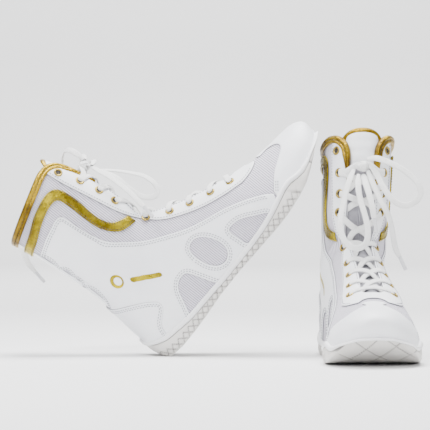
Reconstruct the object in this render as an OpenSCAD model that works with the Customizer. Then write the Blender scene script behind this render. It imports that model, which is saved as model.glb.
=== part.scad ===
// A pair of lace-up boxing boots: the left boot stands on its sole and the right boot
// leans on it, with its heel on the floor and its toe against the left boot's collar.

/* [Boot] */
// Length of a boot from the heel to the toe
boot_length = 292; // [280:1:300]
// Width of the sole at the ball of the foot
ball_width = 104; // [98:1:108]
// Height of the collar at its front corner
boot_height = 245; // [235:1:250]

/* [Layers] */
// Thickness of the padded lining
lining_t = 1.4; // [1:0.1:1.4]
// Thickness of the mesh quarters
mesh_t = 1.5; // [1:0.1:1.5]
// Thickness of the leather panels
leather_t = 1.3; // [0.8:0.1:1.3]
// Thickness of the rubber rim and the toe sole
rim_t = 3.6; // [2.5:0.1:3.6]
// Thickness of the flat outsole
outsole_t = 3.8; // [2.5:0.1:3.8]

/* [Laces] */
// Diameter of the brass eyelets
eyelet_d = 9; // [7:0.5:9]
// Diameter of the eyelets' holes
eyelet_bore = 5; // [4:0.5:5]
// Diameter of the free laces' plain tubes
lace_d = 4; // [3:0.5:4]

/* [Pair] */
// Pitch of the leaning boot, toe above heel
lean_angle = 51.5; // [51:0.1:52]
// Turn of the standing boot away from the leaning one
yaw_angle = 5; // [4:0.5:6]

/* [Hidden] */

// Clearance between neighbouring layers and between bodies
gap = 0.3;
// Scale of the drawn stations to the driving sizes
sx = boot_length / 292;
sy = ball_width / 104;
sz = boot_height / 245;

// The boot's surface is a fan of cross sections from the toe tip (station 0) over the instep
// and round the heel to the collar (station 30). Each section has a front point and a back
// point in the side view, a half width, a shift to the medial side, the share of a layer's
// offset that goes forwards, and how far its outline is the shaft's and not the foot's, at
// the front and at the back.
STATIONS = [
    [301, 33.5, 300.6, 31.5, 1, 8, 1, 0, 0],
    [302.6, 43, 299, 30.3, 14, 8, 0.9, 0, 0],
    [300, 52.5, 294, 27, 23, 7.5, 0.75, 0, 0],
    [290, 58.5, 285, 22.8, 31, 6.5, 0.55, 0, 0],
    [275, 60.5, 270, 17, 38, 5, 0.3, 0, 0],
    [259, 62, 253.5, 11, 42.5, 3.5, 0.15, 0, 0],
    [243, 64.5, 237, 8, 45, 2, 0.05, 0, 0],
    [227, 68, 220, 6.4, 46.3, 0.5, 0, 0, 0],
    [211, 73, 203, 6, 45.5, -1, 0, 0, 0],
    [195, 79.5, 186, 6, 43, -2, 0, 0, 0],
    [178, 87, 167, 6, 40, -2.5, 0, 0, 0],
    [161, 95.5, 147, 6, 37, -2.5, 0, 0, 0],
    [146, 104.5, 126, 6, 35, -2, 0, 0.1, 0],
    [133.5, 113.5, 105, 6, 33.5, -1.5, 0, 0.25, 0],
    [127, 119, 84, 6, 33, -1, 0, 0.4, 0],
    [123.5, 122.5, 64, 6, 33, -0.5, 0, 0.55, 0],
    [122, 125, 45, 6, 32.5, 0, 0, 0.65, 0.1],
    [121.3, 127.3, 25.5, 9.2, 31.5, 0, 0, 0.75, 0.35],
    [121, 129.8, 18.6, 25, 31.5, 0, 0, 0.85, 0.65],
    [121, 132.5, 18.5, 43, 32, 0, 0, 0.95, 0.85],
    [121.2, 136, 19.7, 61.5, 32, 0, 0, 1, 1],
    [121.6, 141, 21.5, 80, 32, -0.4, 0, 1, 1],
    [121.8, 147, 22.6, 97, 32, -0.9, 0, 1, 1],
    [121.6, 154, 22.7, 114, 32.5, -1.5, 0, 1, 1],
    [120.8, 162, 21.7, 131, 33, -2.2, 0, 1, 1],
    [119.3, 173, 20.3, 147, 33.5, -3, 0, 1, 1],
    [117, 186, 18.6, 162, 34, -3.8, 0, 1, 1],
    [114.3, 201, 16.8, 177, 34.5, -4.6, 0, 1, 1],
    [111, 216.5, 14.9, 191, 35, -5.4, 0, 1, 1],
    [107, 231, 13.1, 204, 35.5, -6.2, 0, 1, 1],
    [102, 244.5, 11.6, 216, 36, -7, 0, 1, 1]];
LAST = len(STATIONS) - 1;
// Outline of a foot section: share of the way from front to back, and share of the half width
FOOT = [[0, 0], [0.015, 0.19], [0.06, 0.4], [0.15, 0.6], [0.29, 0.77], [0.47, 0.9],
    [0.66, 0.98], [0.83, 1], [0.94, 0.985], [1, 0.9], [1, 0]];
ROUND = len(FOOT) - 1;
// Outline of a shaft section: an oval a little squarer than an ellipse
SQUARE = 2 / 2.4;
SHAFT = [for (j = [0 : ROUND])
    let (a = 180 * j / ROUND, c = cos(a))
    [0.5 - 0.5 * sign(c) * pow(abs(c), SQUARE), pow(sin(a), SQUARE)]];

// The place round the boot where two halves of a layer stop short of their seam
SEAM = 0.995;
// Edges of the panels as places along the boot's round, from 0 at the front to 1 at the back
THROAT = [[8, 0.13], [21, 0.13], [24, 0.12], [28.4, 0.12], [29, 0.15], [29.5, 0.2], [30, 0.28]];
EYESTAY = [[8, 0.35], [10, 0.345], [12, 0.335], [14, 0.26], [16, 0.235], [19, 0.235],
    [21, 0.26], [24, 0.28], [26, 0.27], [30, 0.26]];
PANEL_TOP = [[7, 0.6], [9, 0.465], [12, 0.42], [15, 0.37], [18, 0.36], [20, 0.385],
    [22, 0.45], [24, 0.5], [26.7, 0.49]];
// The station where the side panels give way to the heel counter, and the width of the step
HEEL_STEP = 16;
STEP_W = 0.02;
PANEL_LOW = [[HEEL_STEP, 0.9], [HEEL_STEP + STEP_W, 0.7], [21, 0.7]];
RIM_TOP = [[0, 0.9], [3, 0.84], [4, 0.8], [5, 0.77], [6, 0.64], [7, 0.66], [8, 0.74], [9, 0.78],
    [15, 0.79], [17, 0.84], [18, 0.91], [18.9, 0.98]];
RIM_LOW = [[16, 0.9], [17, SEAM]];
// Edge of the toe cap under the foot as a place round the boot
CAP_EDGE = 0.89;
// Edges of the stretch that bends at the ball of the foot, by the place round the boot
TOE_BEND_FRONT = [[0, 6], [0.7, 7.1], [0.9, 7.35], [1, 7.35]];
TOE_BEND_BACK = [[0, 8.75], [0.7, 7.9], [0.9, 7.65], [1, 7.65]];
// Edges of the stretch that bends at the ankle
ANKLE_LOW = 21;
ANKLE_HIGH = 24;
BEND_GAP = 0.06;
// Ends of the shaft's layers under the collar binding, and width of the binding's front strip
COLLAR = 29.35;
BINDING_FOOT = 27.2;
BINDING_W = 0.035;
BINDING_GAP = 0.006;
// Stations between which the outsole, the insole board and the footbed run, and the edge of
// the sole as a place round the boot
OUTSOLE_ENDS = [7.8, 15.9];
BOARD_ENDS = [7.75, 15];
FOOTBED_ENDS = [7.8, 15.6];
SOLE_EDGE = 0.9;
FOOTBED_EDGE = 0.86;
// Clearance between the outsole and the rim around it, and the rim's end behind the heel
OUTSOLE_GAP = 0.5;
RIM_END = 18.85;
// Gold stripe: stations of the band round the collar, and places round the boot of the
// strips that run down from it; the back stay's half width as a place round the boot
STRIPE_BAND = [27.2, 28];
STRIPE_FRONT = [0.38, 0.44];
PANEL_END = 26.7;
STAY_END = 27.1;
STAY_EDGE = 0.93;
STAY_GAP = 0.01;
// Heel counter's front edge as a place round the boot
COUNTER_EDGE = 0.7;
// Half width of the tongue as a place round the boot, by station
TONGUE = [[9, 0.2], [29, 0.2], [30, 0.16]];
// Height of the lowest point of a sole above the ground plane
GROUND = 0.15;
// Shift that puts the origin under the middle of the pair
PAIR_SHIFT = [9.13, 91.32, 0];

// Thickness of the footbed and depth of the tongue's inner face below the lining's outer one
FOOTBED_T = 3.5;
TONGUE_T = 3;
// Depths of the layers from the mesh's outer face
D_FOOTBED = [-lining_t - mesh_t - 2 * gap - FOOTBED_T, -lining_t - mesh_t - 2 * gap];
D_LINING = [-lining_t - mesh_t - gap, -mesh_t - gap];
D_MESH = [-mesh_t, 0];
D_LEATHER = [gap, gap + leather_t];
D_BEND = [-lining_t - mesh_t - gap, gap + leather_t];
D_TONGUE = [-lining_t - mesh_t - gap - TONGUE_T, -lining_t - mesh_t - 2 * gap];
D_RIM = [3 * gap + leather_t, 3 * gap + leather_t + rim_t];

// Eyelets from the top row down: station and place round the boot
SHAFT_EYELETS = [[28.6, 0.185], [27.15, 0.185], [25.5, 0.19], [23.9, 0.19]];
FOOT_EYELETS = [[16.8, 0.185], [12.6, 0.23], [11.2, 0.25], [9.95, 0.26], [8.95, 0.26]];
EYELET_LIFT = 3.45;
EYELET_T = 0.7;
// Crossing laces: height above the mesh, extra height of the one on top, half width and half
// thickness of the flat lace
LACE_LIFT = 6.3;
CROSS_LIFT = 2.4;
LACE_HALF_W = 3;
LACE_HALF_T = 0.8;
// Share of the way to the far side that a crossing lace shows, and the row that feeds the bow
STRAND_REACH = 0.75;
KNOT_ROW = 1;
// Stations between the lowest eyelets and the straight lace through them
BAR_DROP = 0.5;
// The bow's knot: station, height above the mesh and diameter
KNOT_STATION = 26.8;
KNOT_LIFT = 7;
KNOT_D = 11;

// Routes of the free laces of both bows, from the knot on
LEFT_LOOP_A = [[154, -60, 207], [163, -65, 208], [175, -69, 204], [187, -72, 198],
    [198, -74, 190], [206, -76, 181], [208, -78, 171], [203, -80, 163], [193, -81, 159],
    [183, -80, 162], [175, -77, 170], [169, -72, 180], [164, -66, 191], [157, -61, 201]];
LEFT_LOOP_B = [[140, -60, 196], [136, -67, 187], [132, -73, 175], [129, -77, 162],
    [126, -82, 149], [125, -87, 135], [129, -91, 123], [137, -95, 116], [146, -96, 116],
    [152, -95, 123], [153, -92, 135], [150, -88, 150], [146, -82, 164], [144, -75, 178],
    [145, -62, 191]];
LEFT_END_A = [[155, -60, 195], [158, -66, 186], [162, -72, 176], [166, -76, 166],
    [172, -78, 155], [177, -75, 143], [180, -70, 129], [183, -66, 115], [188, -64, 105]];
LEFT_AGLET_A = [[188, -64, 105], [194, -64, 92]];
LEFT_END_B = [[150, -60, 191], [152, -70, 182], [155, -79, 171], [158, -84, 158],
    [160, -86, 145]];
LEFT_AGLET_B = [[160, -86, 145], [162, -87, 131]];
RIGHT_LOOP_A = [[-129, 0, 196], [-119, -2, 196], [-106, -5, 195], [-93, -8, 193],
    [-80, -10, 190], [-70, -12, 184], [-65, -13, 177], [-66, -15, 170], [-73, -17, 167],
    [-83, -18, 169], [-95, -18, 177], [-107, -15, 187], [-119, -11, 193], [-129, -8, 196]];
RIGHT_LOOP_B = [[-143, -8, 207], [-150, -5, 213], [-158, 4, 217], [-164, 16, 216],
    [-167, 29, 209], [-167, 39, 198], [-163, 44, 187], [-156, 45, 181], [-150, 43, 187],
    [-148, 38, 198], [-147, 28, 207], [-146, 16, 211], [-143, 6, 210], [-142, 0, 207]];
RIGHT_END_A = [[-133, -13, 199], [-126, -18, 195], [-115, -24, 189], [-104, -29, 181],
    [-94, -33, 173], [-86, -36, 165], [-78, -38, 157]];
RIGHT_AGLET_A = [[-78, -38, 157], [-69, -40, 147]];
RIGHT_END_B = [[-135, 5, 201], [-133, 15, 205], [-135, 28, 206], [-140, 40, 201],
    [-148, 50, 190], [-158, 54, 175], [-170, 54, 160], [-184, 52, 146], [-197, 49, 133],
    [-206, 45, 121], [-209, 42, 110], [-205, 40, 97], [-196, 39, 86]];
RIGHT_AGLET_B = [[-196, 39, 86], [-187, 38, 76]];

function clamp(v, low, high) = min(max(v, low), high);
function unit(v) = v / norm(v);
function row_at(u) =
    let (i = clamp(floor(u), 0, LAST - 1), f = u - i)
    STATIONS[i] * (1 - f) + STATIONS[i + 1] * f;
function outline_at(s, shaftness) =
    let (j = clamp(floor(s * ROUND), 0, ROUND - 1), f = s * ROUND - j)
    (FOOT[j] * (1 - f) + FOOT[j + 1] * f) * (1 - shaftness)
    + (SHAFT[j] * (1 - f) + SHAFT[j + 1] * f) * shaftness;
// A point of the right boot's surface: u along the boot, t round it (0 front, 1 back,
// positive on the lateral side, and past 1 on the medial side), d outwards
function skin(u, t, d) =
    let (r = row_at(u), s = t > 1 ? 2 - t : abs(t), side = (t > 1 || t < 0) ? -1 : 1,
        front = [r[0] * sx, r[1] * sz], back = [r[2] * sx, r[3] * sz], along = unit(back - front),
        o = outline_at(s, r[7] * (1 - s) + r[8] * s), h = max(norm(back - front) + 2 * d, 0.2),
        p = front - along * d + along * h * o[0], ahead = [-along[1], along[0]] * d * r[6])
    [p[0] + ahead[0], r[5] * sy - side * max(r[4] * sy + d, 0.2) * o[1],
        max(p[1] + ahead[1], GROUND)];

// Indices of the six sides of a curved block of (n + 1) x (m + 1) points in two layers
function block_faces(n, m) =
    let (w = m + 1, k = (n + 1) * w)
    concat(
        [for (i = [0 : n - 1], j = [0 : m - 1]) each
            [[i * w + j, i * w + j + 1, (i + 1) * w + j + 1],
            [i * w + j, (i + 1) * w + j + 1, (i + 1) * w + j]]],
        [for (i = [0 : n - 1], j = [0 : m - 1]) each
            [[k + i * w + j, k + (i + 1) * w + j + 1, k + i * w + j + 1],
            [k + i * w + j, k + (i + 1) * w + j, k + (i + 1) * w + j + 1]]],
        [for (i = [0 : n - 1]) each
            [[i * w, (i + 1) * w, k + (i + 1) * w], [i * w, k + (i + 1) * w, k + i * w]]],
        [for (i = [0 : n - 1]) each
            [[i * w + m, k + (i + 1) * w + m, (i + 1) * w + m],
            [i * w + m, k + i * w + m, k + (i + 1) * w + m]]],
        [for (j = [0 : m - 1]) each
            [[j, k + j + 1, j + 1], [j, k + j, k + j + 1]]],
        [for (j = [0 : m - 1]) each
            [[n * w + j, n * w + j + 1, k + n * w + j + 1],
            [n * w + j, k + n * w + j + 1, k + n * w + j]]]);

// A closed layer of the boot between depths d, between the stations given by the functions
// u_low(s) and u_high(s) and between the places round given by t_low(u) and t_high(u)
module layer(u_low, u_high, t_low, t_high, d) {
    first = min(u_low(0), u_low(1));
    last = max(u_high(0), u_high(1));
    us = concat([first],
        [for (i = [floor(first) + 1 : ceil(last) - 1]) each (i == HEEL_STEP ? [i, i + STEP_W] : [i])],
        [last]);
    j_low = floor(min([for (u = us) t_low(u)]) * ROUND + 0.001);
    j_high = ceil(max([for (u = us) t_high(u)]) * ROUND - 0.001);
    points = [for (depth = [d[1], d[0]], u = us, j = [j_low : j_high])
        let (t = clamp(j / ROUND, t_low(u), t_high(u)), s = t > 1 ? 2 - t : abs(t))
        skin(clamp(u, u_low(s), u_high(s)), t, depth)];
    polyhedron(points, block_faces(len(us) - 1, j_high - j_low), convexity = 8);
}

// The same layer on the lateral and on the medial side
module both_sides(u_low, u_high, t_low, t_high, d) {
    layer(u_low, u_high, t_low, t_high, d);
    layer(u_low, u_high, function(u) -t_high(u), function(u) -t_low(u), d);
}

throat = function(u) lookup(u, THROAT);
toe_front = function(s) lookup(s, TOE_BEND_FRONT);
toe_back = function(s) lookup(s, TOE_BEND_BACK);

// A flat or round tube through points: half width ra along "side", half thickness rb
function carried(ways, side, i = 0) =
    i == len(ways) ? []
    : let (a = unit(side - ways[i] * (side * ways[i]))) concat([a], carried(ways, a, i + 1));
module tube(points, ra, rb, side, sides = 8) {
    n = len(points) - 1;
    ways = [for (i = [0 : n]) unit(points[min(i + 1, n)] - points[max(i - 1, 0)])];
    across = carried(ways, side);
    rings = [for (i = [0 : n], k = [0 : sides - 1])
        points[i] + across[i] * ra * cos(360 * k / sides)
            + cross(across[i], ways[i]) * rb * sin(360 * k / sides)];
    walls = [for (i = [0 : n - 1], k = [0 : sides - 1])
        let (a = i * sides + k, b = i * sides + (k + 1) % sides)
        each [[a, b, b + sides], [a, b + sides, a + sides]]];
    ends = [[for (k = [sides - 1 : -1 : 0]) k], [for (k = [0 : sides - 1]) n * sides + k]];
    polyhedron(rings, concat(walls, ends), convexity = 6);
}

// Stands its children on the surface at a place, their +Z outwards
module on_skin(u, t, lift) {
    step_u = 0.35;
    step_t = 0.03;
    p = skin(u, t, lift);
    out = unit(cross(skin(u, t + step_t, lift) - skin(u, t - step_t, lift),
        skin(u + step_u, t, lift) - skin(u - step_u, t, lift)));
    facing = out * (skin(u, t, lift + 1) - p) > 0 ? out : -out;
    translate(p)
        rotate([0, acos(facing[2]), atan2(facing[1], facing[0])])
            children();
}

module outsole() {
    stations = concat([OUTSOLE_ENDS[0]],
        [for (i = [ceil(OUTSOLE_ENDS[0]) : floor(OUTSOLE_ENDS[1])]) i], [OUTSOLE_ENDS[1]]);
    last = len(stations) - 1;
    edges = [for (side = [1, -1])
        [for (u = stations) skin(u, side * SOLE_EDGE, D_RIM[0]) + [0, side * OUTSOLE_GAP, 0]]];
    outline = concat(edges[0], [for (i = [last : -1 : 0]) edges[1][i]]);
    color("gainsboro")
        linear_extrude(height = outsole_t)
            polygon([for (p = outline) [p[0], p[1]]]);
}

module sole_rim() {
    color("whitesmoke")
        both_sides(toe_back, function(s) RIM_END, function(u) lookup(u, RIM_TOP),
            function(u) lookup(u, RIM_LOW), D_RIM);
}

module insole_board() {
    color("tan")
        layer(function(s) BOARD_ENDS[0], function(s) BOARD_ENDS[1], function(u) SOLE_EDGE,
            function(u) 2 - SOLE_EDGE, D_MESH);
}

module footbed() {
    color("lightgray")
        layer(function(s) FOOTBED_ENDS[0], function(s) FOOTBED_ENDS[1], function(u) FOOTBED_EDGE,
            function(u) 2 - FOOTBED_EDGE, D_FOOTBED);
}

module foot_lining() {
    color("lavender")
        layer(toe_back, function(s) ANKLE_LOW, throat, function(u) 2 - throat(u), D_LINING);
}

module foot_mesh() {
    color("lavender")
        both_sides(toe_back, function(s) ANKLE_LOW, throat,
            function(u) lookup(u, [[BOARD_ENDS[1], SOLE_EDGE], [HEEL_STEP, SEAM]]), D_MESH);
}

module side_panels() {
    color("white")
        both_sides(toe_back, function(s) ANKLE_LOW, function(u) lookup(u, PANEL_TOP),
            function(u) lookup(u, PANEL_LOW), D_LEATHER);
}

module heel_counter() {
    color("white")
        layer(function(s) HEEL_STEP + STEP_W, function(s) ANKLE_LOW, function(u) COUNTER_EDGE,
            function(u) 2 - COUNTER_EDGE, D_LEATHER);
}

module foot_eyestay() {
    color("white")
        both_sides(toe_back, function(s) ANKLE_LOW, throat, function(u) lookup(u, EYESTAY), D_LEATHER);
}

module shaft_eyestay() {
    color("white")
        both_sides(function(s) ANKLE_HIGH, function(s) COLLAR,
            function(u) throat(u) + lookup(u, [[26, 0], [27, BINDING_W]]),
            function(u) lookup(u, EYESTAY), D_LEATHER);
}

module eyelets(places) {
    color("goldenrod")
        for (place = places)
            for (side = [-1, 1])
                on_skin(place[0], side * place[1], EYELET_LIFT)
                    difference() {
                        cylinder(h = EYELET_T, d = eyelet_d, $fn = 32);
                        translate([0, 0, -1])
                            cylinder(h = EYELET_T + 2, d = eyelet_bore, $fn = 32);
                    }
}

module tongue() {
    color("white")
        layer(function(s) TONGUE[0][0], function(s) LAST, function(u) -lookup(u, TONGUE),
            function(u) lookup(u, TONGUE), D_TONGUE);
}

// One crossing lace, from an eyelet part of the way down to the next one on the far side
module strand(from, to, side, reach) {
    steps = 4;
    points = [for (i = [0 : steps])
        let (f = i / steps * reach, t = side * (from[1] * (1 - f) - to[1] * f))
        skin(from[0] * (1 - f) + to[0] * f, t,
            LACE_LIFT + (side > 0 ? CROSS_LIFT * sin(180 * clamp(f * 1.2, 0, 1)) : 0))];
    tube(points, LACE_HALF_W, LACE_HALF_T, skin(from[0] + 0.5, 0, 0) - skin(from[0], 0, 0), 6);
}

module lace_rows() {
    rows = concat(SHAFT_EYELETS, FOOT_EYELETS);
    low = len(rows) - 1;
    bar = rows[low] - [BAR_DROP, 0];
    color("snow")
        for (i = [KNOT_ROW + 2 : low])
            for (side = [-1, 1])
                strand(rows[i - 1], rows[i], side, STRAND_REACH);
    color("snow")
        for (side = [-1, 1])
            tube([for (f = [1, 0.8, 0.6])
                    skin(rows[KNOT_ROW][0], side * rows[KNOT_ROW][1] * f, LACE_LIFT)],
                LACE_HALF_W, LACE_HALF_T, [0, 0, 1], 6);
    color("snow")
        tube([for (f = [-1 : 0.5 : 1]) skin(bar[0], f * bar[1], LACE_LIFT)],
            LACE_HALF_W, LACE_HALF_T, [1, 0, 0], 6);
}

module ankle_flex_zone() {
    color("lightsteelblue")
        layer(function(s) ANKLE_LOW + BEND_GAP, function(s) ANKLE_HIGH - BEND_GAP, throat,
            function(u) 2 - throat(u), D_BEND);
}

module toe_flex_zone() {
    color("lightsteelblue")
        layer(function(s) toe_front(s) + BEND_GAP, function(s) toe_back(s) - BEND_GAP,
            function(u) -CAP_EDGE, function(u) CAP_EDGE, D_BEND);
}

module toe_sole() {
    color("gainsboro")
        layer(function(s) 0, toe_front, function(u) lookup(u, RIM_TOP),
            function(u) 2 - lookup(u, RIM_TOP), D_RIM);
}

module toe_cap() {
    color("white")
        layer(function(s) 0, toe_front, function(u) -CAP_EDGE, function(u) CAP_EDGE,
            [-mesh_t, gap + leather_t]);
}

module toe_lining() {
    color("lavender")
        layer(function(s) gap, toe_front, function(u) -SEAM, function(u) SEAM, D_LINING);
}

module shaft_lining() {
    color("lavender")
        layer(function(s) ANKLE_HIGH, function(s) COLLAR, throat, function(u) 2 - throat(u), D_LINING);
}

module shaft_mesh() {
    color("lavender")
        both_sides(function(s) ANKLE_HIGH, function(s) COLLAR, throat, function(u) SEAM, D_MESH);
}

module shaft_panels() {
    color("white")
        both_sides(function(s) ANKLE_HIGH, function(s) PANEL_END, function(u) lookup(u, PANEL_TOP),
            function(u) STAY_EDGE - STAY_GAP, D_LEATHER);
    color("white")
        layer(function(s) ANKLE_HIGH, function(s) STAY_END, function(u) STAY_EDGE,
            function(u) 2 - STAY_EDGE, D_LEATHER);
}

module gold_stripes() {
    color("gold")
        both_sides(function(s) STRIPE_BAND[0], function(s) STRIPE_BAND[1],
            function(u) STRIPE_FRONT[1] - 0.02, function(u) SEAM, D_LEATHER);
    color("gold")
        both_sides(function(s) ANKLE_HIGH, function(s) STAY_END, function(u) STRIPE_FRONT[0],
            function(u) STRIPE_FRONT[1], D_LEATHER);
}

module collar_binding() {
    color("darkgoldenrod")
        layer(function(s) COLLAR + STEP_W, function(s) LAST, throat, function(u) 2 - throat(u), D_BEND);
    color("darkgoldenrod")
        both_sides(function(s) BINDING_FOOT, function(s) COLLAR - STEP_W, throat,
            function(u) throat(u) + BINDING_W - BINDING_GAP, D_LEATHER);
}

module lace_knot() {
    color("snow")
        translate(skin(KNOT_STATION, 0, KNOT_LIFT))
            sphere(d = KNOT_D, $fn = 32);
}

module free_lace(route) {
    color("snow")
        translate(PAIR_SHIFT)
            tube(route, lace_d / 2, lace_d / 2, [0, 1, 0.3]);
}

module aglets(routes) {
    color("ghostwhite")
        for (route = routes)
            translate(PAIR_SHIFT)
                tube([route[0] + unit(route[1] - route[0]), route[1]],
                    lace_d / 2 - gap, lace_d / 2 - gap, [0, 1, 0]);
}

module right_place() {
    translate(PAIR_SHIFT + [-62, 0, -20.05])
        rotate([0, -lean_angle, 0])
            children();
}

module left_place() {
    translate(PAIR_SHIFT + [135.5, 66, 0])
        rotate([0, 0, yaw_angle - 90])
            mirror([0, 1, 0])
                children();
}

module boot(part) {
    if (part == "outsole") outsole();
    if (part == "sole_rim") sole_rim();
    if (part == "insole_board") insole_board();
    if (part == "footbed") footbed();
    if (part == "foot_lining") foot_lining();
    if (part == "foot_mesh") foot_mesh();
    if (part == "side_panels") side_panels();
    if (part == "heel_counter") heel_counter();
    if (part == "foot_eyestay") foot_eyestay();
    if (part == "foot_eyelets") eyelets(FOOT_EYELETS);
    if (part == "tongue") tongue();
    if (part == "lace_rows") lace_rows();
    if (part == "ankle_flex_zone") ankle_flex_zone();
    if (part == "toe_flex_zone") toe_flex_zone();
    if (part == "toe_sole") toe_sole();
    if (part == "toe_cap") toe_cap();
    if (part == "toe_lining") toe_lining();
    if (part == "shaft_lining") shaft_lining();
    if (part == "shaft_mesh") shaft_mesh();
    if (part == "shaft_panels") shaft_panels();
    if (part == "gold_stripes") gold_stripes();
    if (part == "shaft_eyestay") shaft_eyestay();
    if (part == "collar_binding") collar_binding();
    if (part == "shaft_eyelets") eyelets(SHAFT_EYELETS);
    if (part == "lace_knot") lace_knot();
}

for (part = ["outsole", "sole_rim", "insole_board", "footbed", "foot_lining", "foot_mesh",
        "side_panels", "heel_counter", "foot_eyestay", "foot_eyelets", "tongue", "lace_rows",
        "ankle_flex_zone", "toe_flex_zone", "toe_sole", "toe_cap", "toe_lining", "shaft_lining",
        "shaft_mesh", "shaft_panels", "gold_stripes", "shaft_eyestay", "collar_binding",
        "shaft_eyelets", "lace_knot"]) {
    left_place() boot(part);
    right_place() boot(part);
}
free_lace(LEFT_LOOP_A);  // left_lace_loop_a
free_lace(LEFT_LOOP_B);  // left_lace_loop_b
free_lace(LEFT_END_A);  // left_lace_end_a
free_lace(LEFT_END_B);  // left_lace_end_b
aglets([LEFT_AGLET_A, LEFT_AGLET_B]);  // left_aglets
free_lace(RIGHT_LOOP_A);  // right_lace_loop_a
free_lace(RIGHT_LOOP_B);  // right_lace_loop_b
free_lace(RIGHT_END_A);  // right_lace_end_a
free_lace(RIGHT_END_B);  // right_lace_end_b
aglets([RIGHT_AGLET_A, RIGHT_AGLET_B]);  // right_aglets
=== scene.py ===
import math

import bpy
import numpy as np
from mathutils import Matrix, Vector
from mathutils.geometry import delaunay_2d_cdt


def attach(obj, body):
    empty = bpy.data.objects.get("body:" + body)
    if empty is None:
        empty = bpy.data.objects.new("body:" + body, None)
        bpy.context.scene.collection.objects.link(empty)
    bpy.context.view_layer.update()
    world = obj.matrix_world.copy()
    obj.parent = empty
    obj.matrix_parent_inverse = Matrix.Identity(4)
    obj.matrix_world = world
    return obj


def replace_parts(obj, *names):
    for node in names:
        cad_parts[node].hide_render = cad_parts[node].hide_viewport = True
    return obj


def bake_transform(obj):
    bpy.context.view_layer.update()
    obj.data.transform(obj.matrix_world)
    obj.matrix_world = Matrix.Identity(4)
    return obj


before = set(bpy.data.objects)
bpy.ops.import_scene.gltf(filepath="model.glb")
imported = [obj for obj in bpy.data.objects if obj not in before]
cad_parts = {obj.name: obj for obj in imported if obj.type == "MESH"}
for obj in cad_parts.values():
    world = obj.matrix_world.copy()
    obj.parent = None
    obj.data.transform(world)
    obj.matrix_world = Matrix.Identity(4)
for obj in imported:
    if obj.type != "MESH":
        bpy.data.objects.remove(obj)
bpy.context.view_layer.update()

# ---------------------------------------------------------------- camera
# The pair is drawn in millimetres in its own frame; PAIR_SHIFT puts it where the CAD has it.
PAIR_SHIFT = np.array([9.13, 91.32, 0.0])
CAMERA_PLACE = np.array([-4.0, -3000.0, 176.0])
CAMERA_DIP = 0.526  # degrees below level
camera = bpy.data.objects.new("camera", bpy.data.cameras.new("camera"))
bpy.context.scene.collection.objects.link(camera)
bpy.context.scene.camera = camera
camera.location = tuple((CAMERA_PLACE + PAIR_SHIFT) / 1000)
camera.rotation_euler = (math.radians(90 - CAMERA_DIP), 0, 0)
camera.data.lens = 237
camera.data.sensor_width = 36
camera.data.clip_start = 0.1
camera.data.clip_end = 50

# ---------------------------------------------------------------- placing and mesh helpers
LEAN = math.radians(51.5)  # how far the right boot leans on its heel
TURN = math.radians(5 - 90)  # which way the left boot points
RIGHT_BACK, RIGHT_DOWN = 62, 20.05
LEFT_X, LEFT_Y = 135.5, 66


def place(points, side):
    """Boot frame (mm, x forwards, z up, the lateral side at -y) or pair frame (mm) to the shared one (m)."""
    p = np.asarray(points, float)
    x, y, z = p[..., 0], p[..., 1], p[..., 2]
    if side == "right":
        c, s = math.cos(LEAN), math.sin(LEAN)
        p = np.stack([x * c - z * s - RIGHT_BACK, y, x * s + z * c - RIGHT_DOWN], -1)
    elif side == "left":
        c, s = math.cos(TURN), math.sin(TURN)
        p = np.stack([x * c + y * s + LEFT_X, x * s - y * c + LEFT_Y, z], -1)
    return (p + PAIR_SHIFT) / 1000


def unit(v):
    return v / np.maximum(np.linalg.norm(v, axis=-1, keepdims=True), 1e-12)


def run_of(points):
    """How far along its line each point is."""
    return np.concatenate([[0], np.cumsum(np.linalg.norm(np.diff(points, axis=0), axis=1))])


def read_at(where, run, table):
    """The rows of a table at places between the ones that run gives."""
    return np.stack([np.interp(where, run, column) for column in table.T], 1)


def grid_faces(rows, columns, wrap=False):
    last = columns if wrap else columns - 1
    return [(i * columns + j, i * columns + k, (i + 1) * columns + k, (i + 1) * columns + j)
            for i in range(rows - 1) for j in range(last) for k in [(j + 1) % columns]]


def caps(rows, columns):
    """The two faces that close a tube of rings."""
    return [tuple(range(columns))[::-1], tuple(range((rows - 1) * columns, rows * columns))]


def turned(faces):
    return [f[::-1] for f in faces]


def facing(faces, verts, test, way):
    """The faces, all turned over if the test one looks against way."""
    a, b, c, d = (verts[i] for i in faces[test])
    return turned(faces) if np.dot(np.cross(c - a, d - b), way) < 0 else faces


def vertex_normals(verts, faces):
    n = np.zeros_like(verts)
    quads = np.array([f if len(f) == 4 else (f[0], f[1], f[2], f[2]) for f in faces])
    a, b, c, d = (verts[quads[:, i]] for i in range(4))
    normal = np.cross(c - a, d - b)
    tri = quads[:, 2] == quads[:, 3]
    normal[tri] = np.cross(b[tri] - a[tri], c[tri] - a[tri])
    for i in range(4):
        np.add.at(n, quads[:, i], normal)
    return unit(n)


class Shell:
    """Geometry of one kind of surface in the boot frame, with the station of each vertex."""

    def __init__(self):
        self.verts, self.faces, self.station, self.uv, self.marks = [], [], [], [], []
        self.count = 0

    def add(self, verts, faces, station, uv=None, mark=0):
        verts = np.asarray(verts, float).reshape(-1, 3)
        n = len(verts)
        self.verts.append(verts)
        self.faces += [tuple(i + self.count for i in f) for f in faces]
        self.marks += [mark] * len(faces) if isinstance(mark, int) else list(mark)
        self.station.append(np.broadcast_to(np.asarray(station, float).reshape(-1), (n,)))
        self.uv.append(np.zeros((n, 2)) if uv is None else np.asarray(uv, float).reshape(-1, 2))
        self.count += n

    def arrays(self):
        return np.concatenate(self.verts), np.concatenate(self.station), np.concatenate(self.uv)


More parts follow.
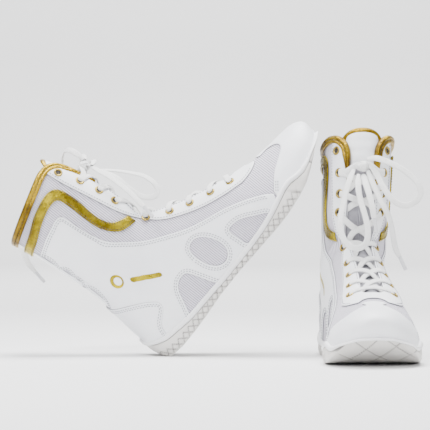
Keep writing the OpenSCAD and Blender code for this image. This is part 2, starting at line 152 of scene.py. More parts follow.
def mesh_piece(name, verts, faces, normals, uv, materials, marks):
    """A smooth-shaded object from points in the shared frame, with given vertex normals."""
    used = np.unique(np.concatenate([np.array(f) for f in faces]))
    index = np.full(len(verts), -1)
    index[used] = np.arange(len(used))
    mesh = bpy.data.meshes.new(name)
    mesh.from_pydata(verts[used].tolist(), [], [[int(index[i]) for i in f] for f in faces])
    mesh.polygons.foreach_set("use_smooth", [True] * len(faces))
    for m in materials:
        mesh.materials.append(m)
    mesh.polygons.foreach_set("material_index", marks)
    layer = mesh.uv_layers.new(name="fabric")
    loops = np.zeros(len(mesh.loops), np.int32)
    mesh.loops.foreach_get("vertex_index", loops)
    layer.data.foreach_set("uv", uv[used][loops].astype(np.float32).ravel())
    mesh.normals_split_custom_set_from_vertices(normals[used].tolist())
    mesh.update()
    obj = bpy.data.objects.new(name, mesh)
    bpy.context.scene.collection.objects.link(obj)
    return obj


SPLIT = 12.5  # station that parts the pieces crossing both bends
# Body beyond the bend, and the points (x, z) in the boot frame where the bend starts and ends
BENDS = {"toe": ("toe", (188, 20), (238, 20)), "ankle": ("shaft", (71.5, 110.5), (57.7, 140.5))}


def build(shell, name, side, materials, slot, zones=("toe", "ankle"), stands_for=()):
    """Makes the shell's objects on one boot, split between the two bends where it crosses both."""
    verts, station, uv = shell.arrays()
    verts = place(verts, side)
    faces = shell.faces if side == "right" else turned(shell.faces)
    normals = vertex_normals(verts, faces)
    middle = np.array([station[list(f)].mean() for f in faces])
    made = []
    for zone in zones:
        chosen, label = range(len(faces)), f"{side}_{name}"
        if len(zones) > 1:
            chosen = np.nonzero(middle < SPLIT if zone == "toe" else middle >= SPLIT)[0]
            label += "_front" if zone == "toe" else "_rear"
        if not len(chosen):
            continue
        obj = mesh_piece(label, verts, [faces[i] for i in chosen], normals, uv, materials,
                         [shell.marks[i] for i in chosen])
        if zone in BENDS:
            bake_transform(obj)
        else:
            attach(obj, f"{side}_{zone}")
        made.append(obj)
    if stands_for:
        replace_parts(made[0], *[f"{side}_{n}" for n in stands_for])
    return made


# ---------------------------------------------------------------- materials
class Look:
    """A material on one shader, with short ways to add nodes to it."""

    def __init__(self, name, base, roughness, metallic=0.0, sheen=0.0, coat=0.0):
        self.material = bpy.data.materials.new(name)
        self.material.use_nodes = True
        self.tree = self.material.node_tree
        self.inputs = self.tree.nodes["Principled BSDF"].inputs
        for key, value in {"Base Color": (*base, 1), "Roughness": roughness, "Metallic": metallic,
                           "Sheen Weight": sheen, "Coat Weight": coat}.items():
            self.inputs[key].default_value = value

    def node(self, kind, inputs=(), **settings):
        n = self.tree.nodes.new(kind)
        for key, value in settings.items():
            setattr(n, key, value)
        for key, value in dict(inputs).items():
            if isinstance(value, bpy.types.NodeSocket):
                self.tree.links.new(value, n.inputs[key])
            else:
                n.inputs[key].default_value = value
        return n

    def maths(self, operation, a, b=0.0):
        return self.node("ShaderNodeMath", {0: a, 1: b}, operation=operation).outputs[0]

    def add(self, a, b):
        return self.maths("ADD", a, b)

    def times(self, a, b):
        return self.maths("MULTIPLY", a, b)

    def sine(self, a):
        return self.maths("SINE", a)

    def where(self, kind="Object"):
        return self.node("ShaderNodeTexCoord").outputs[kind]

    def split(self, vector):
        return self.node("ShaderNodeSeparateXYZ", {0: vector}).outputs

    def noise(self, where, scale, detail, weight=None):
        inputs = {"Vector": where, "Scale": scale, "Detail": detail}
        fac = self.node("ShaderNodeTexNoise", inputs).outputs["Fac"]
        return fac if weight is None else self.times(fac, weight)

    def cells(self, where, scale):
        return self.node("ShaderNodeTexVoronoi", {"Vector": where, "Scale": scale},
                         feature="DISTANCE_TO_EDGE").outputs["Distance"]

    def ramp(self, factor, *stops):
        r = self.node("ShaderNodeValToRGB", {"Fac": factor})
        for i, (position, colour) in enumerate(stops):
            e = r.color_ramp.elements[i] if i < 2 else r.color_ramp.elements.new(position)
            e.position, e.color = position, (*colour, 1)
        return r.outputs["Color"]

    def colour(self, output):
        self.tree.links.new(output, self.inputs["Base Color"])

    def shine(self, value, low, high):
        spread = self.node("ShaderNodeMapRange", {"Value": value, "To Min": low, "To Max": high})
        self.tree.links.new(spread.outputs[0], self.inputs["Roughness"])

    def bump(self, height, distance, strength):
        n = self.node("ShaderNodeBump", {"Height": height, "Distance": distance, "Strength": strength})
        self.tree.links.new(n.outputs["Normal"], self.inputs["Normal"])


def leather(name, base, dark, roughness=(0.36, 0.55)):
    look = Look(name, base, 0.45)
    where = look.where()
    look.colour(look.ramp(look.noise(where, 22, 4), (0.3, dark), (0.62, base)))
    look.shine(look.noise(where, 60, 3), *roughness)
    grain = look.add(look.times(look.cells(where, 1100), 0.6), look.noise(where, 34, 3, weight=3.5))
    look.bump(look.add(grain, look.noise(where, 190, 4, weight=0.9)), 0.0005, 0.55)
    return look.material


def metallic_leather(name, bright, base, dark):
    """Foil-faced leather: painted reflections in its colour, long soft glints and darker patches over its
    length, with fine creases across them.
    """
    look = Look(name, base, 0.34, metallic=0.9)
    where = look.where()
    # The colour ramp is painted light: its bright stop is a painted reflection and its dark stop painted
    # shade, with a finer grain mixed in.
    painted_glint_and_shade = look.add(look.noise(where, 34, 2, weight=0.8), look.noise(where, 420, 3, weight=0.2))
    look.colour(look.ramp(painted_glint_and_shade, (0.37, dark), (0.49, base), (0.6, bright)))
    look.shine(look.noise(where, 240, 3), 0.2, 0.4)
    folds = look.add(look.cells(where, 700), look.noise(where, 75, 3, weight=4.0))
    look.bump(look.add(folds, look.noise(where, 260, 3, weight=0.8)), 0.0006, 0.9)
    return look.material


def ribbed(name, ridge, valley_shade, pitch=0.0022):
    """Fabric with raised ribs along constant U, crossed by fine threads; its colour is darker in the valleys
    between the ribs, painted shade.
    """
    look = Look(name, ridge, 0.85, sheen=0.3)
    uv = look.where("UV")
    across, along, _ = look.split(uv)
    phase = look.times(look.add(across, look.noise(uv, 60, 2, weight=0.0012)), 2 * math.pi / pitch)
    rib = look.times(look.add(look.sine(phase), 1.0), 0.5)
    threads = look.times(look.sine(look.times(along, 2 * math.pi / 0.0008)), 0.1)
    height = look.add(look.maths("POWER", rib, 0.6), threads)
    # Colour follows the rib height, dark in the valleys: painted shade, with random tone mixed in.
    valley_shade_and_tone = look.add(height, look.noise(uv, 25, 3, weight=0.25))
    look.colour(look.ramp(valley_shade_and_tone, (0.12, valley_shade), (0.85, ridge)))
    look.bump(height, 0.0007, 1.0)
    return look.material


def woven(name, base, dark, pitch=0.0009):
    look = Look(name, base, 0.8, sheen=0.2)
    uv = look.where("UV")
    a, b, _ = look.split(uv)
    one, other = (look.sine(look.times(look.maths(way, a, b), 2 * math.pi / pitch))
                  for way in ("ADD", "SUBTRACT"))
    weave = look.times(look.add(look.times(one, other), 1.0), 0.5)
    shade = look.add(look.times(weave, 0.6), look.noise(uv, 90, 3, weight=0.5))
    look.colour(look.ramp(shade, (0.1, dark), (0.7, base)))
    look.bump(weave, 0.00025, 0.6)
    return look.material


def rubber(name, base, dark, light, roughness, groove_shade_colour=None):
    """Moulded rubber. Where a groove colour is given, the grooves that U marks take it: painted shade in the
    grooves.
    """
    look = Look(name, base, roughness)
    where = look.where()
    shade = look.ramp(look.noise(where, 45, 5), (0.3, dark), (0.6, light))
    if groove_shade_colour:
        cut = look.split(look.where("UV"))["X"]
        inputs = {"Fac": cut, "Color1": shade, "Color2": (*groove_shade_colour, 1)}
        shade = look.node("ShaderNodeMixRGB", inputs).outputs[0]
    look.colour(shade)
    look.bump(look.noise(where, 900, 3), 0.00012, 0.5)
    return look.material


def plain(name, base, roughness, grain, depth, **kind):
    look = Look(name, base, roughness, **kind)
    look.bump(look.noise(look.where(), grain, 3), depth, 0.4)
    return look.material


WHITE = leather("white_leather", (0.86, 0.87, 0.89), (0.80, 0.81, 0.85))
# Dark leather for the lower band of each white panel's edge: painted shade where the panel meets the layer
# below.
EDGE_SHADE = leather("edge_shade", (0.16, 0.155, 0.18), (0.12, 0.12, 0.14), roughness=(0.6, 0.8))
# The second colour of each ribbed cloth is painted shade in its rib valleys.
MESH = ribbed("rib_mesh", (0.72, 0.69, 0.78), (0.20, 0.18, 0.24))
TONGUE_CLOTH = ribbed("tongue_cloth", (0.44, 0.43, 0.48), (0.15, 0.145, 0.18), pitch=0.0018)
LINING = woven("lining_cloth", (0.66, 0.65, 0.68), (0.50, 0.49, 0.53), pitch=0.0016)
FOOTBED = woven("footbed_cloth", (0.62, 0.61, 0.62), (0.46, 0.45, 0.47), pitch=0.0014)
# Gold leather and binding: the first colour is a painted reflection, the middle one the base and the last
# one painted shade.
GOLD = metallic_leather("gold_leather", (0.50, 0.39, 0.010), (0.27, 0.205, 0.006), (0.11, 0.075, 0.003))
BINDING = metallic_leather("gold_binding", (0.40, 0.26, 0.014), (0.23, 0.142, 0.008), (0.09, 0.050, 0.004))
LACE = woven("lace_weave", (0.88, 0.88, 0.87), (0.62, 0.62, 0.61), pitch=0.0011)
THREAD = woven("white_thread", (0.34, 0.34, 0.38), (0.22, 0.22, 0.26), pitch=0.0005)
GOLD_THREAD = woven("gold_thread", (0.060, 0.040, 0.008), (0.030, 0.020, 0.004), pitch=0.0005)
LIP = rubber("rim_rubber", (0.80, 0.80, 0.81), (0.75, 0.75, 0.76), (0.80, 0.80, 0.81), 0.55)
# The outsole's grooves take a near-black colour: painted shade in the grooves.
SOLE = rubber("outsole_rubber", (0.66, 0.64, 0.61), (0.60, 0.58, 0.55), (0.68, 0.66, 0.63), 0.6,
              groove_shade_colour=(0.17, 0.16, 0.15))
# A near-black disc in each eyelet stands for the hole: painted shade.
EYELET_HOLE_SHADE = plain("eyelet_hole_shade", (0.03, 0.025, 0.02), 0.9, 500, 0.0001)
AGLET = plain("aglet_film", (0.62, 0.62, 0.64), 0.18, 260, 0.0003, coat=0.6)
brass = Look("brass", (0.44, 0.31, 0.06), 0.3, metallic=1.0)
scratches = brass.noise(brass.where(), 350, 4)
brass.colour(brass.ramp(scratches, (0.35, (0.22, 0.15, 0.03)), (0.6, (0.46, 0.33, 0.07))))
brass.bump(scratches, 0.0001, 0.4)
BRASS = brass.material

# ---------------------------------------------------------------- free laces
LACE_W, LACE_T, LACE_SIDES = 6.4, 2.1, 14


def cubic(rows, i, f):
    """Catmull-Rom value between the rows i + 1 and i + 2, at the fraction f."""
    p0, p1, p2, p3 = rows[i], rows[i + 1], rows[i + 2], rows[i + 3]
    return 0.5 * (2 * p1 + (p2 - p0) * f + (2 * p0 - 5 * p1 + 4 * p2 - p3) * f ** 2
                  + (3 * p1 - p0 - 3 * p2 + p3) * f ** 3)


def catmull(table, x):
    """Smooth interpolation of a table's rows at fractional indices."""
    table = np.asarray(table, float)
    n = len(table) - 1
    x = np.clip(np.asarray(x, float), 0, n)
    i = np.minimum(x.astype(int), n - 1)
    table = np.vstack([2 * table[0] - table[1], table, 2 * table[-1] - table[-2]])
    return cubic(table, i, (x - i)[..., None])


def curve_through(points, step=1.6):
    """A smooth line through points, resampled to even steps (mm)."""
    last = len(points) - 1
    fine = catmull(points, np.linspace(0, last, 24 * last + 1))
    run = run_of(fine)
    return read_at(np.linspace(0, run[-1], max(int(round(run[-1] / step)), 4) + 1), run, fine)


def ribbon(points, facing, width=LACE_W, thick=LACE_T, ends=(1.0, 1.0), ripple=0.0):
    """Rings of a flat lace with rounded edges; its flat side looks along facing."""
    p = np.asarray(points, float)
    n = len(p)
    ways = unit(np.gradient(p, axis=0))
    facing = np.asarray(facing, float)
    if facing.ndim == 1:
        facing = np.broadcast_to(facing, (n, 3))
    else:
        facing = catmull(facing, np.linspace(0, len(facing) - 1, n))
    up = unit(facing - ways * np.sum(facing * ways, 1, keepdims=True))
    for i in range(1, n):
        if np.dot(up[i], up[i - 1]) < 0:
            up[i:] = -up[i:]
    kernel = np.ones(7) / 7
    padded = np.pad(up, ((3, 3), (0, 0)), mode="edge")
    up = unit(np.stack([np.convolve(padded[:, k], kernel, "valid") for k in range(3)], 1))
    across = unit(np.cross(ways, up))
    a = np.linspace(0, 2 * np.pi, LACE_SIDES, endpoint=False)
    share = np.sign(np.cos(a)) * np.abs(np.cos(a)) ** 0.75
    rise = np.sign(np.sin(a)) * np.abs(np.sin(a)) ** 0.75
    s = np.linspace(0, 1, n)
    wide = np.interp(s, [0, 0.06, 0.94, 1], [ends[0], 1, 1, ends[1]])
    wave = 1 + ripple * np.sin(s * n * 0.9)
    rings = (p[:, None] + across[:, None] * (share * width / 2)[None, :, None] * (wide * wave)[:, None, None]
             + up[:, None] * (rise * thick / 2)[None, :, None])
    girth = np.concatenate([[0], np.cumsum(np.abs(np.diff(share)) + 0.3)])[:LACE_SIDES] * width / 2
    uv = np.stack(np.broadcast_arrays(run_of(p)[:, None], girth[None, :]), -1) / 1000
    faces = grid_faces(n, LACE_SIDES, wrap=True) + turned(caps(n, LACE_SIDES))
    return rings.reshape(-1, 3), turned(faces), uv.reshape(-1, 2)


def on_shaft(side, name, verts, faces, uv, look, slot):
    """A piece made in the pair frame that rides on a boot's shaft."""
    verts = place(verts, "pair")
    normals = vertex_normals(verts, [f for f in faces if len(f) == 4])
    piece = mesh_piece(f"{side}_{name}", verts, faces, normals, uv, [look], [0] * len(faces))
    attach(piece, side + "_shaft")
    return piece


# Routes from the knots on, as in the CAD
LEFT_ROUTES = {
    "lace_loop_a": [[154, -60, 207], [163, -65, 208], [175, -69, 204], [187, -72, 198],
                    [198, -74, 190], [206, -76, 181], [208, -78, 171], [203, -80, 163], [193, -81, 159],
                    [183, -80, 162], [175, -77, 170], [169, -72, 180], [164, -66, 191], [157, -61, 201]],
    "lace_loop_b": [[140, -60, 196], [136, -67, 187], [132, -73, 175], [129, -77, 162],
                    [126, -82, 149], [125, -87, 135], [129, -91, 123], [137, -95, 116], [146, -96, 116],
                    [152, -95, 123], [153, -92, 135], [150, -88, 150], [146, -82, 164], [144, -75, 178],
                    [145, -62, 191]],
    "lace_end_a": [[155, -60, 195], [158, -66, 186], [162, -72, 176], [166, -76, 166],
                   [172, -78, 155], [177, -75, 143], [180, -70, 129], [183, -66, 115], [188, -64, 105]],
    "lace_end_b": [[150, -60, 191], [152, -70, 182], [155, -79, 171], [158, -84, 158], [160, -86, 145]]}
LEFT_TIPS = {"a": [[188, -64, 105], [194, -64, 92]], "b": [[160, -86, 145], [162, -87, 131]]}
RIGHT_ROUTES = {
    "lace_loop_a": [[-129, 0, 196], [-119, -2, 196], [-106, -5, 195], [-93, -8, 193],
                    [-80, -10, 190], [-70, -12, 184], [-65, -13, 177], [-66, -15, 170], [-73, -17, 167],
                    [-83, -18, 169], [-95, -18, 177], [-107, -15, 187], [-119, -11, 193], [-129, -8, 196]],
    "lace_loop_b": [[-143, -8, 207], [-150, -5, 213], [-158, 4, 217], [-164, 16, 216],
                    [-167, 29, 209], [-167, 39, 198], [-163, 44, 187], [-156, 45, 181], [-150, 43, 187],
                    [-148, 38, 198], [-147, 28, 207], [-146, 16, 211], [-143, 6, 210], [-142, 0, 207]],
    "lace_end_a": [[-133, -13, 199], [-126, -18, 195], [-115, -24, 189], [-104, -29, 181],
                   [-94, -33, 173], [-86, -36, 165], [-78, -38, 157]],
    "lace_end_b": [[-135, 5, 201], [-133, 15, 205], [-135, 28, 206], [-140, 40, 201],
                   [-148, 50, 190], [-158, 54, 175], [-170, 54, 160], [-184, 52, 146], [-197, 49, 133],
                   [-206, 45, 121], [-209, 42, 110], [-205, 40, 97], [-196, 39, 86]]}
RIGHT_TIPS = {"a": [[-78, -38, 157], [-69, -40, 147]], "b": [[-196, 39, 86], [-187, 38, 76]]}
FACINGS = {"left": {"lace_loop_a": [[0, -1, 0.4], [0, -1, 0.3], [0.3, -1, 0.2], [0, -1, -0.2], [0, -1, 0.3]],
                    "lace_loop_b": [[-0.3, -1, 0.3], [-0.5, -1, 0], [0, -1, -0.3], [0.4, -1, 0],
                                     [0.2, -1, 0.3]],
                    "lace_end_a": [[0.3, -1, 0.3], [0.5, -1, 0], [0.2, -1, 0]],
                    "lace_end_b": [[0, -1, 0.3], [0.2, -1, 0]]},
           "right": {"lace_loop_a": [[0, -0.3, 1], [0.1, -0.5, 1], [0.5, -1, 0.3], [0, -1, 0.6],
                                     [0, -0.6, 1]],
                     "lace_loop_b": [[-0.3, -1, 0.5], [-0.6, -0.6, 0.5], [-1, 0, 0.3], [-0.8, -0.5, 0],
                                     [0, -0.6, 1]],
                     "lace_end_a": [[0, -0.6, 1], [0.3, -1, 0.7], [0.2, -1, 0.4]],
                     "lace_end_b": [[0, -0.4, 1], [-0.3, -0.8, 0.6], [-0.5, -0.9, 0.3], [-0.4, -1, 0.2]]}}
AGLET_FACING = np.array([0.2, -1, 0.1])

for side, routes, tips in (("left", LEFT_ROUTES, LEFT_TIPS), ("right", RIGHT_ROUTES, RIGHT_TIPS)):
    aglets = {}
    for key, ends in tips.items():
        start, end = np.array(ends, float)
        line = np.linspace(start - (end - start) * 0.08, end, 12)
        shape = ribbon(line, AGLET_FACING, width=4.0, thick=3.0, ends=(1.1, 0.85))
        aglets[key] = on_shaft(side, f"aglet_{key}", *shape, AGLET, "aglet")
    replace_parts(aglets["a"], side + "_aglets")
    for key, route in routes.items():
        line = curve_through(route)
        loop = "loop" in key
        shape = ribbon(line, FACINGS[side][key], ends=(0.6, 0.6) if loop else (0.6, 0.7), ripple=0.02)
        piece = on_shaft(side, key.replace("lace", "bow"), *shape, LACE, "lace")
        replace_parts(piece, f"{side}_{key}")

# ---------------------------------------------------------------- the boot's surface
# Fan of cross sections from the toe tip over the instep and round the heel to the collar:
# front point, back point, half width, shift to the medial side, share of an offset that goes
# forwards, and how far the outline is the shaft's at the front and at the back.
STATIONS = np.array([
    [301, 33.5, 300.6, 31.5, 1, 8, 1, 0, 0], [302.6, 43, 299, 30.3, 14, 8, 0.9, 0, 0],
    [300, 50, 294, 27, 23, 7.5, 0.75, 0, 0], [290, 55.5, 285, 22.8, 31, 6.5, 0.55, 0, 0],
    [275, 58, 270, 17, 38, 5, 0.3, 0, 0], [259, 60, 253.5, 11, 42.5, 3.5, 0.15, 0, 0],
    [243, 62.8, 237, 8, 45, 2, 0.05, 0, 0], [227, 66.5, 220, 6.4, 46.3, 0.5, 0, 0, 0],
    [211, 72, 203, 6, 45.5, -1, 0, 0, 0], [195, 79.5, 186, 6, 43, -2, 0, 0, 0],
    [178, 87, 167, 6, 40, -2.5, 0, 0, 0], [161, 95.5, 147, 6, 37, -2.5, 0, 0, 0],
    [146, 104.5, 126, 6, 35, -2, 0, 0.1, 0], [133.5, 113.5, 105, 6, 33.5, -1.5, 0, 0.25, 0],
    [127, 119, 84, 6, 33, -1, 0, 0.4, 0], [123.5, 122.5, 64, 6, 33, -0.5, 0, 0.55, 0],
    [122, 125, 45, 6, 32.5, 0, 0, 0.65, 0.1], [121.3, 127.3, 25.5, 9.2, 31.5, 0, 0, 0.75, 0.35],
    [121, 129.8, 18.6, 25, 31.5, 0, 0, 0.85, 0.65], [121, 132.5, 18.5, 43, 32, 0, 0, 0.95, 0.85],
    [121.2, 136, 19.7, 61.5, 32, 0, 0, 1, 1], [121.6, 141, 21.5, 80, 32, -0.4, 0, 1, 1],
    [121.8, 147, 22.6, 97, 32, -0.9, 0, 1, 1], [121.6, 154, 22.7, 114, 32.5, -1.5, 0, 1, 1],
    [120.8, 162, 21.7, 131, 33, -2.2, 0, 1, 1], [119.3, 173, 20.3, 147, 33.5, -3, 0, 1, 1],
    [117, 186, 18.6, 162, 34, -3.8, 0, 1, 1], [114.3, 201, 16.8, 177, 34.5, -4.6, 0, 1, 1],
    [111, 216.5, 14.9, 191, 35, -5.4, 0, 1, 1], [107, 231, 13.1, 204, 35.5, -6.2, 0, 1, 1],
    [102, 244.5, 11.6, 216, 36, -7, 0, 1, 1], [96.5, 258, 10.1, 228, 36.5, -7.8, 0, 1, 1]])
FOOT = np.array([[0, 0], [0.015, 0.19], [0.06, 0.4], [0.15, 0.6], [0.29, 0.77], [0.47, 0.9],
                 [0.66, 0.98], [0.83, 1], [0.94, 0.985], [1, 0.9], [1, 0]])
RIM_TOP = np.array([[0, 0.86], [1, 0.82], [2, 0.81], [3, 0.79], [4, 0.75], [5, 0.675], [5.7, 0.63],
                    [6.3, 0.63], [7, 0.655], [8, 0.7], [9, 0.735], [10, 0.755], [12, 0.775],
                    [15, 0.77], [16, 0.75], [16.5, 0.745], [17, 0.75], [17.5, 0.78], [18, 0.83],
                    [18.5, 0.905], [18.9, 1]])
LAST_ROW = 30.6
COLLAR_ROW = 29.4
HEEL_TOP = 18.9  # station where the sole's edge closes round the back
THROAT_LOW = 8  # station where the lacing ends


def outline(s, shaftness):
    """Share of the way from front to back, and of the half width, at s round a cross section."""
    c = np.cos(np.pi * s)
    power = 2 / 2.4
    shaft = np.stack([0.5 - 0.5 * np.sign(c) * np.abs(c) ** power, np.abs(np.sin(np.pi * s)) ** power], -1)
    x = np.clip(s, 0, 1) * 10
    i = np.minimum(x.astype(int), 9)
    foot = cubic(np.vstack([FOOT[1] * [1, -1], FOOT, FOOT[9] * [1, -1]]), i, (x - i)[..., None])
    k = shaftness[..., None]
    return foot * (1 - k) + shaft * k


def skin(u, t, d=0.0):
    """Point of the surface: u along the boot, t round it (0 front, 1 back), d outwards."""
    u, t, d = np.broadcast_arrays(np.asarray(u, float), np.asarray(t, float), np.asarray(d, float))
    r = catmull(STATIONS, u)
    s = np.where(t > 1, 2 - t, np.abs(t))
    side = np.where((t > 1) | (t < 0), -1.0, 1.0)
    span = r[..., 2:4] - r[..., 0:2]
    length = np.linalg.norm(span, axis=-1)
    along = span / length[..., None]
    o = outline(s, np.clip(r[..., 7] * (1 - s) + r[..., 8] * s, 0, 1))
    reach = np.maximum(length + 2 * d, 0.2) * o[..., 0] - d
    push = d * r[..., 6]
    x = r[..., 0] + along[..., 0] * reach - along[..., 1] * push
    z = r[..., 1] + along[..., 1] * reach + along[..., 0] * push
    y = r[..., 5] - side * np.maximum(r[..., 4] + d, 0.2) * o[..., 1]
    return np.stack([x, y, np.maximum(z, 0.15)], -1)


def partials(u, t, d=0.0):
    du, dt = 0.04, 0.004
    return ((skin(u + du, t, d) - skin(u - du, t, d)) / (2 * du),
            (skin(u, t + dt, d) - skin(u, t - dt, d)) / (2 * dt))


def outward(u, t, d=0.0):
    pu, pt = partials(u, t, d)
    n = unit(np.cross(pt, pu))
    flip = np.sign(np.sum(n * (skin(u, t, np.asarray(d) + 1) - skin(u, t, d)), -1, keepdims=True))
    return n * np.where(flip == 0, 1, flip)


def slide(path, vector, d):
    """A (u, t) line after a short move of its points along the surface (mm)."""
    u, t = path.T
    pu, pt = partials(u, t, d)
    a, b, c = np.sum(pu * pu, -1), np.sum(pu * pt, -1), np.sum(pt * pt, -1)
    ru, rt = np.sum(pu * vector, -1), np.sum(pt * vector, -1)
    det = np.maximum(a * c - b * b, 1e-6)
    return np.stack([u + (c * ru - b * rt) / det, t + (a * rt - b * ru) / det], 1)


def left_of(path, d, line_d=None, closed=False):
    """Directions along the surface to the left of a (u, t) line, whose run is taken at line_d."""
    p = skin(*path.T, d if line_d is None else line_d)
    way = np.roll(p, -1, 0) - np.roll(p, 1, 0) if closed else np.gradient(p, axis=0)
    return unit(np.cross(outward(*path.T, d), unit(way)))


# Looks up the place (u, t) of points given in the side view, as x and height above the floor
SIDE_U, SIDE_T = np.meshgrid(np.linspace(0, LAST_ROW, 307), np.linspace(0.015, 0.985, 98), indexing="ij")
SIDE_POINTS = skin(SIDE_U, SIDE_T)[..., [0, 2]].reshape(-1, 2)
SIDE_LIFT = 5  # mm added to the outlines' heights


def from_side(points, smooth=True):
    p = np.asarray(points, float) + [0, SIDE_LIFT]
    if smooth:
        p = curve_through(p, 2.0)
    found = []
    for q in p:
        k = np.argmin(np.sum((SIDE_POINTS - q) ** 2, 1))
        u, t = SIDE_U.ravel()[k], SIDE_T.ravel()[k]
        for _ in range(4):
            pu, pt = partials(u, t)
            j = np.array([[pu[0], pt[0]], [pu[2], pt[2]]])
            step = np.linalg.solve(j.T @ j + np.diag([0.5, 60.0]), j.T @ (q - skin(u, t)[[0, 2]]))
            u = float(np.clip(u + np.clip(step[0], -0.3, 0.3), 0, LAST_ROW))
            t = float(np.clip(t + np.clip(step[1], -0.03, 0.03), 0.003, 0.997))
        found.append((u, t))
    return np.array(found)


def resample(path, spacing, closed=False, d=0.0):
    """Even steps along a (u, t) line, measured on the surface."""
    path = np.asarray(path, float)
    if closed:
        path = np.vstack([path, path[:1]])
    parts = [np.linspace(a, b, 8, endpoint=False) for a, b in zip(path[:-1], path[1:])]
    fine = np.concatenate(parts + [path[-1:]])
    run = run_of(skin(*fine.T, d))
    s = np.linspace(0, run[-1], max(int(round(run[-1] / spacing)), 3) + 1)
    return read_at(s[:-1] if closed else s, run, fine)


def smooth_ring(p, rounds):
    for _ in range(rounds):
        p = (np.roll(p, 1, 0) + 2 * p + np.roll(p, -1, 0)) / 4
    return p


def smooth_line(path, rounds):
    p = np.asarray(path, float).copy()
    for _ in range(rounds):
        p[1:-1] = (p[:-2] + 2 * p[1:-1] + p[2:]) / 4
    return p


def mirror(path):
    """The same line on the medial side, in the opposite order."""
    return np.asarray(path)[::-1] * [1, -1]


def round_back(path):
    """The same line on the medial side, counted past the back seam."""
    return np.asarray(path)[::-1] * [1, -1] + [0, 2]


BOTH_SIDES = (np.asarray, mirror)
FLAT_SCALE = np.array([14.0, 150.0])  # mm for a step of u and t, when a panel is cut out flat


def inside(points, loop):
    x, y = points.T
    result = np.zeros(len(points), bool)
    for (x1, y1), (x2, y2) in zip(loop, np.roll(loop, -1, 0)):
        if y1 != y2:
            result ^= ((y1 > y) != (y2 > y)) & (x < (x2 - x1) * (y - y1) / (y2 - y1) + x1)
    return result


def inside_cut(points, loops):
    """Whether points lie inside the first loop and outside the other ones."""
    result = inside(points, loops[0])
    for hole in loops[1:]:
        result &= ~inside(points, hole)
    return result


def flat_area(loop):
    x, y = (loop * FLAT_SCALE).T
    return abs(0.5 * np.sum(x * np.roll(y, -1) - np.roll(x, -1) * y))


def resized(loop, distance, d, larger):
    """A closed (u, t) loop made larger or smaller by a distance on the surface."""
    left = left_of(loop, d, closed=True)
    a, b = slide(loop, left * distance, d), slide(loop, -left * distance, d)
    return a if (flat_area(a) > flat_area(loop)) == larger else b


def panel(shell, outer, holes=(), base=0.0, top=1.6, spacing=3.0, edge=0.7):
    """A cut piece of leather on the surface: flat top with rounded edges down to its base."""
    loops = [resample(outer, 1.5, closed=True)] + [resample(h, 1.3, closed=True) for h in holes]
    inner = [resized(loop, edge, top, larger=k > 0) for k, loop in enumerate(loops)]
    cuts = [loop * FLAT_SCALE for loop in inner]
    low, high = cuts[0].min(0), cuts[0].max(0)
    gx, gy = np.arange(low[0], high[0], spacing), np.arange(low[1], high[1], spacing * 0.866)
    grid = np.array([(x + (spacing / 2 if j % 2 else 0), y) for j, y in enumerate(gy) for x in gx])
    grid = grid[inside_cut(grid, cuts)]
    points = border = np.concatenate(cuts)
    if len(grid):
        near = np.array([np.min(np.sum((border - g) ** 2, 1)) for g in grid])
        points = np.concatenate([border, grid[near > (spacing * 0.45) ** 2]])
    edges, start = [], 0
    for c in cuts:
        edges += [(start + i, start + (i + 1) % len(c)) for i in range(len(c))]
        start += len(c)
    out = delaunay_2d_cdt([Vector(p) for p in points], edges, [], 0, 1e-5)
    flat_verts = np.array([v[:] for v in out[0]])
    tris = np.array([f for f in out[2] if len(f) == 3])
    tris = tris[inside_cut(flat_verts[tris].mean(1), cuts)]
    index = {o: k for k, originals in enumerate(out[3]) for o in originals}
    where = flat_verts / FLAT_SCALE
    verts = [skin(*where.T, top)]
    normals = outward(*where.T, top)
    faces = []
    for a, b, c in tris.tolist():
        n = np.cross(verts[0][b] - verts[0][a], verts[0][c] - verts[0][a])
        faces.append((a, b, c) if np.dot(n, normals[a]) > 0 else (a, c, b))
    used_edges = {pair for a, b, c in faces for pair in ((a, b), (b, c), (c, a))}
    marks = [0] * len(faces)
    stations = [where[:, 0]]
    total, start = len(where), 0
    for loop, moved in zip(loops, inner):
        n = len(loop)
        middle = loop * 0.75 + moved * 0.25
        verts += [skin(*middle.T, base + (top - base) * 0.62), skin(*loop.T, base)]
        stations += [middle[:, 0], loop[:, 0]]
        for i in range(n):
            j = (i + 1) % n
            a, b = index[start + i], index[start + j]
            # Mark 0 is the upper band of the rounded edge; mark 1, the lower band, takes the piece's second
            # material, which on white panels is painted shade.
            for mark, (high_a, high_b), ring in ((0, (a, b), total), (1, (total + i, total + j), total + n)):
                quad = (high_a, high_b, ring + j, ring + i)
                faces.append(quad[::-1] if (a, b) in used_edges else quad)
                marks.append(mark)
        total += 2 * n
        start += n
    shell.add(np.concatenate(verts), faces, np.concatenate(stations), mark=marks)


def line_beside(path, distance, d):
    """An open (u, t) line moved to its left by a distance on the surface."""
    return smooth_line(slide(path, left_of(path, d) * distance, d), 1)


STITCH_RADIUS = 0.5
STITCH_SHARE = np.array([0, 0.18, 0.5, 0.82, 1.0])
STITCH_RISE = np.array([-0.35, 0.02, 0.12, 0.02, -0.35])
STITCH_GIRTH = np.array([0.4, 0.9, 1.0, 0.9, 0.4]) * STITCH_RADIUS


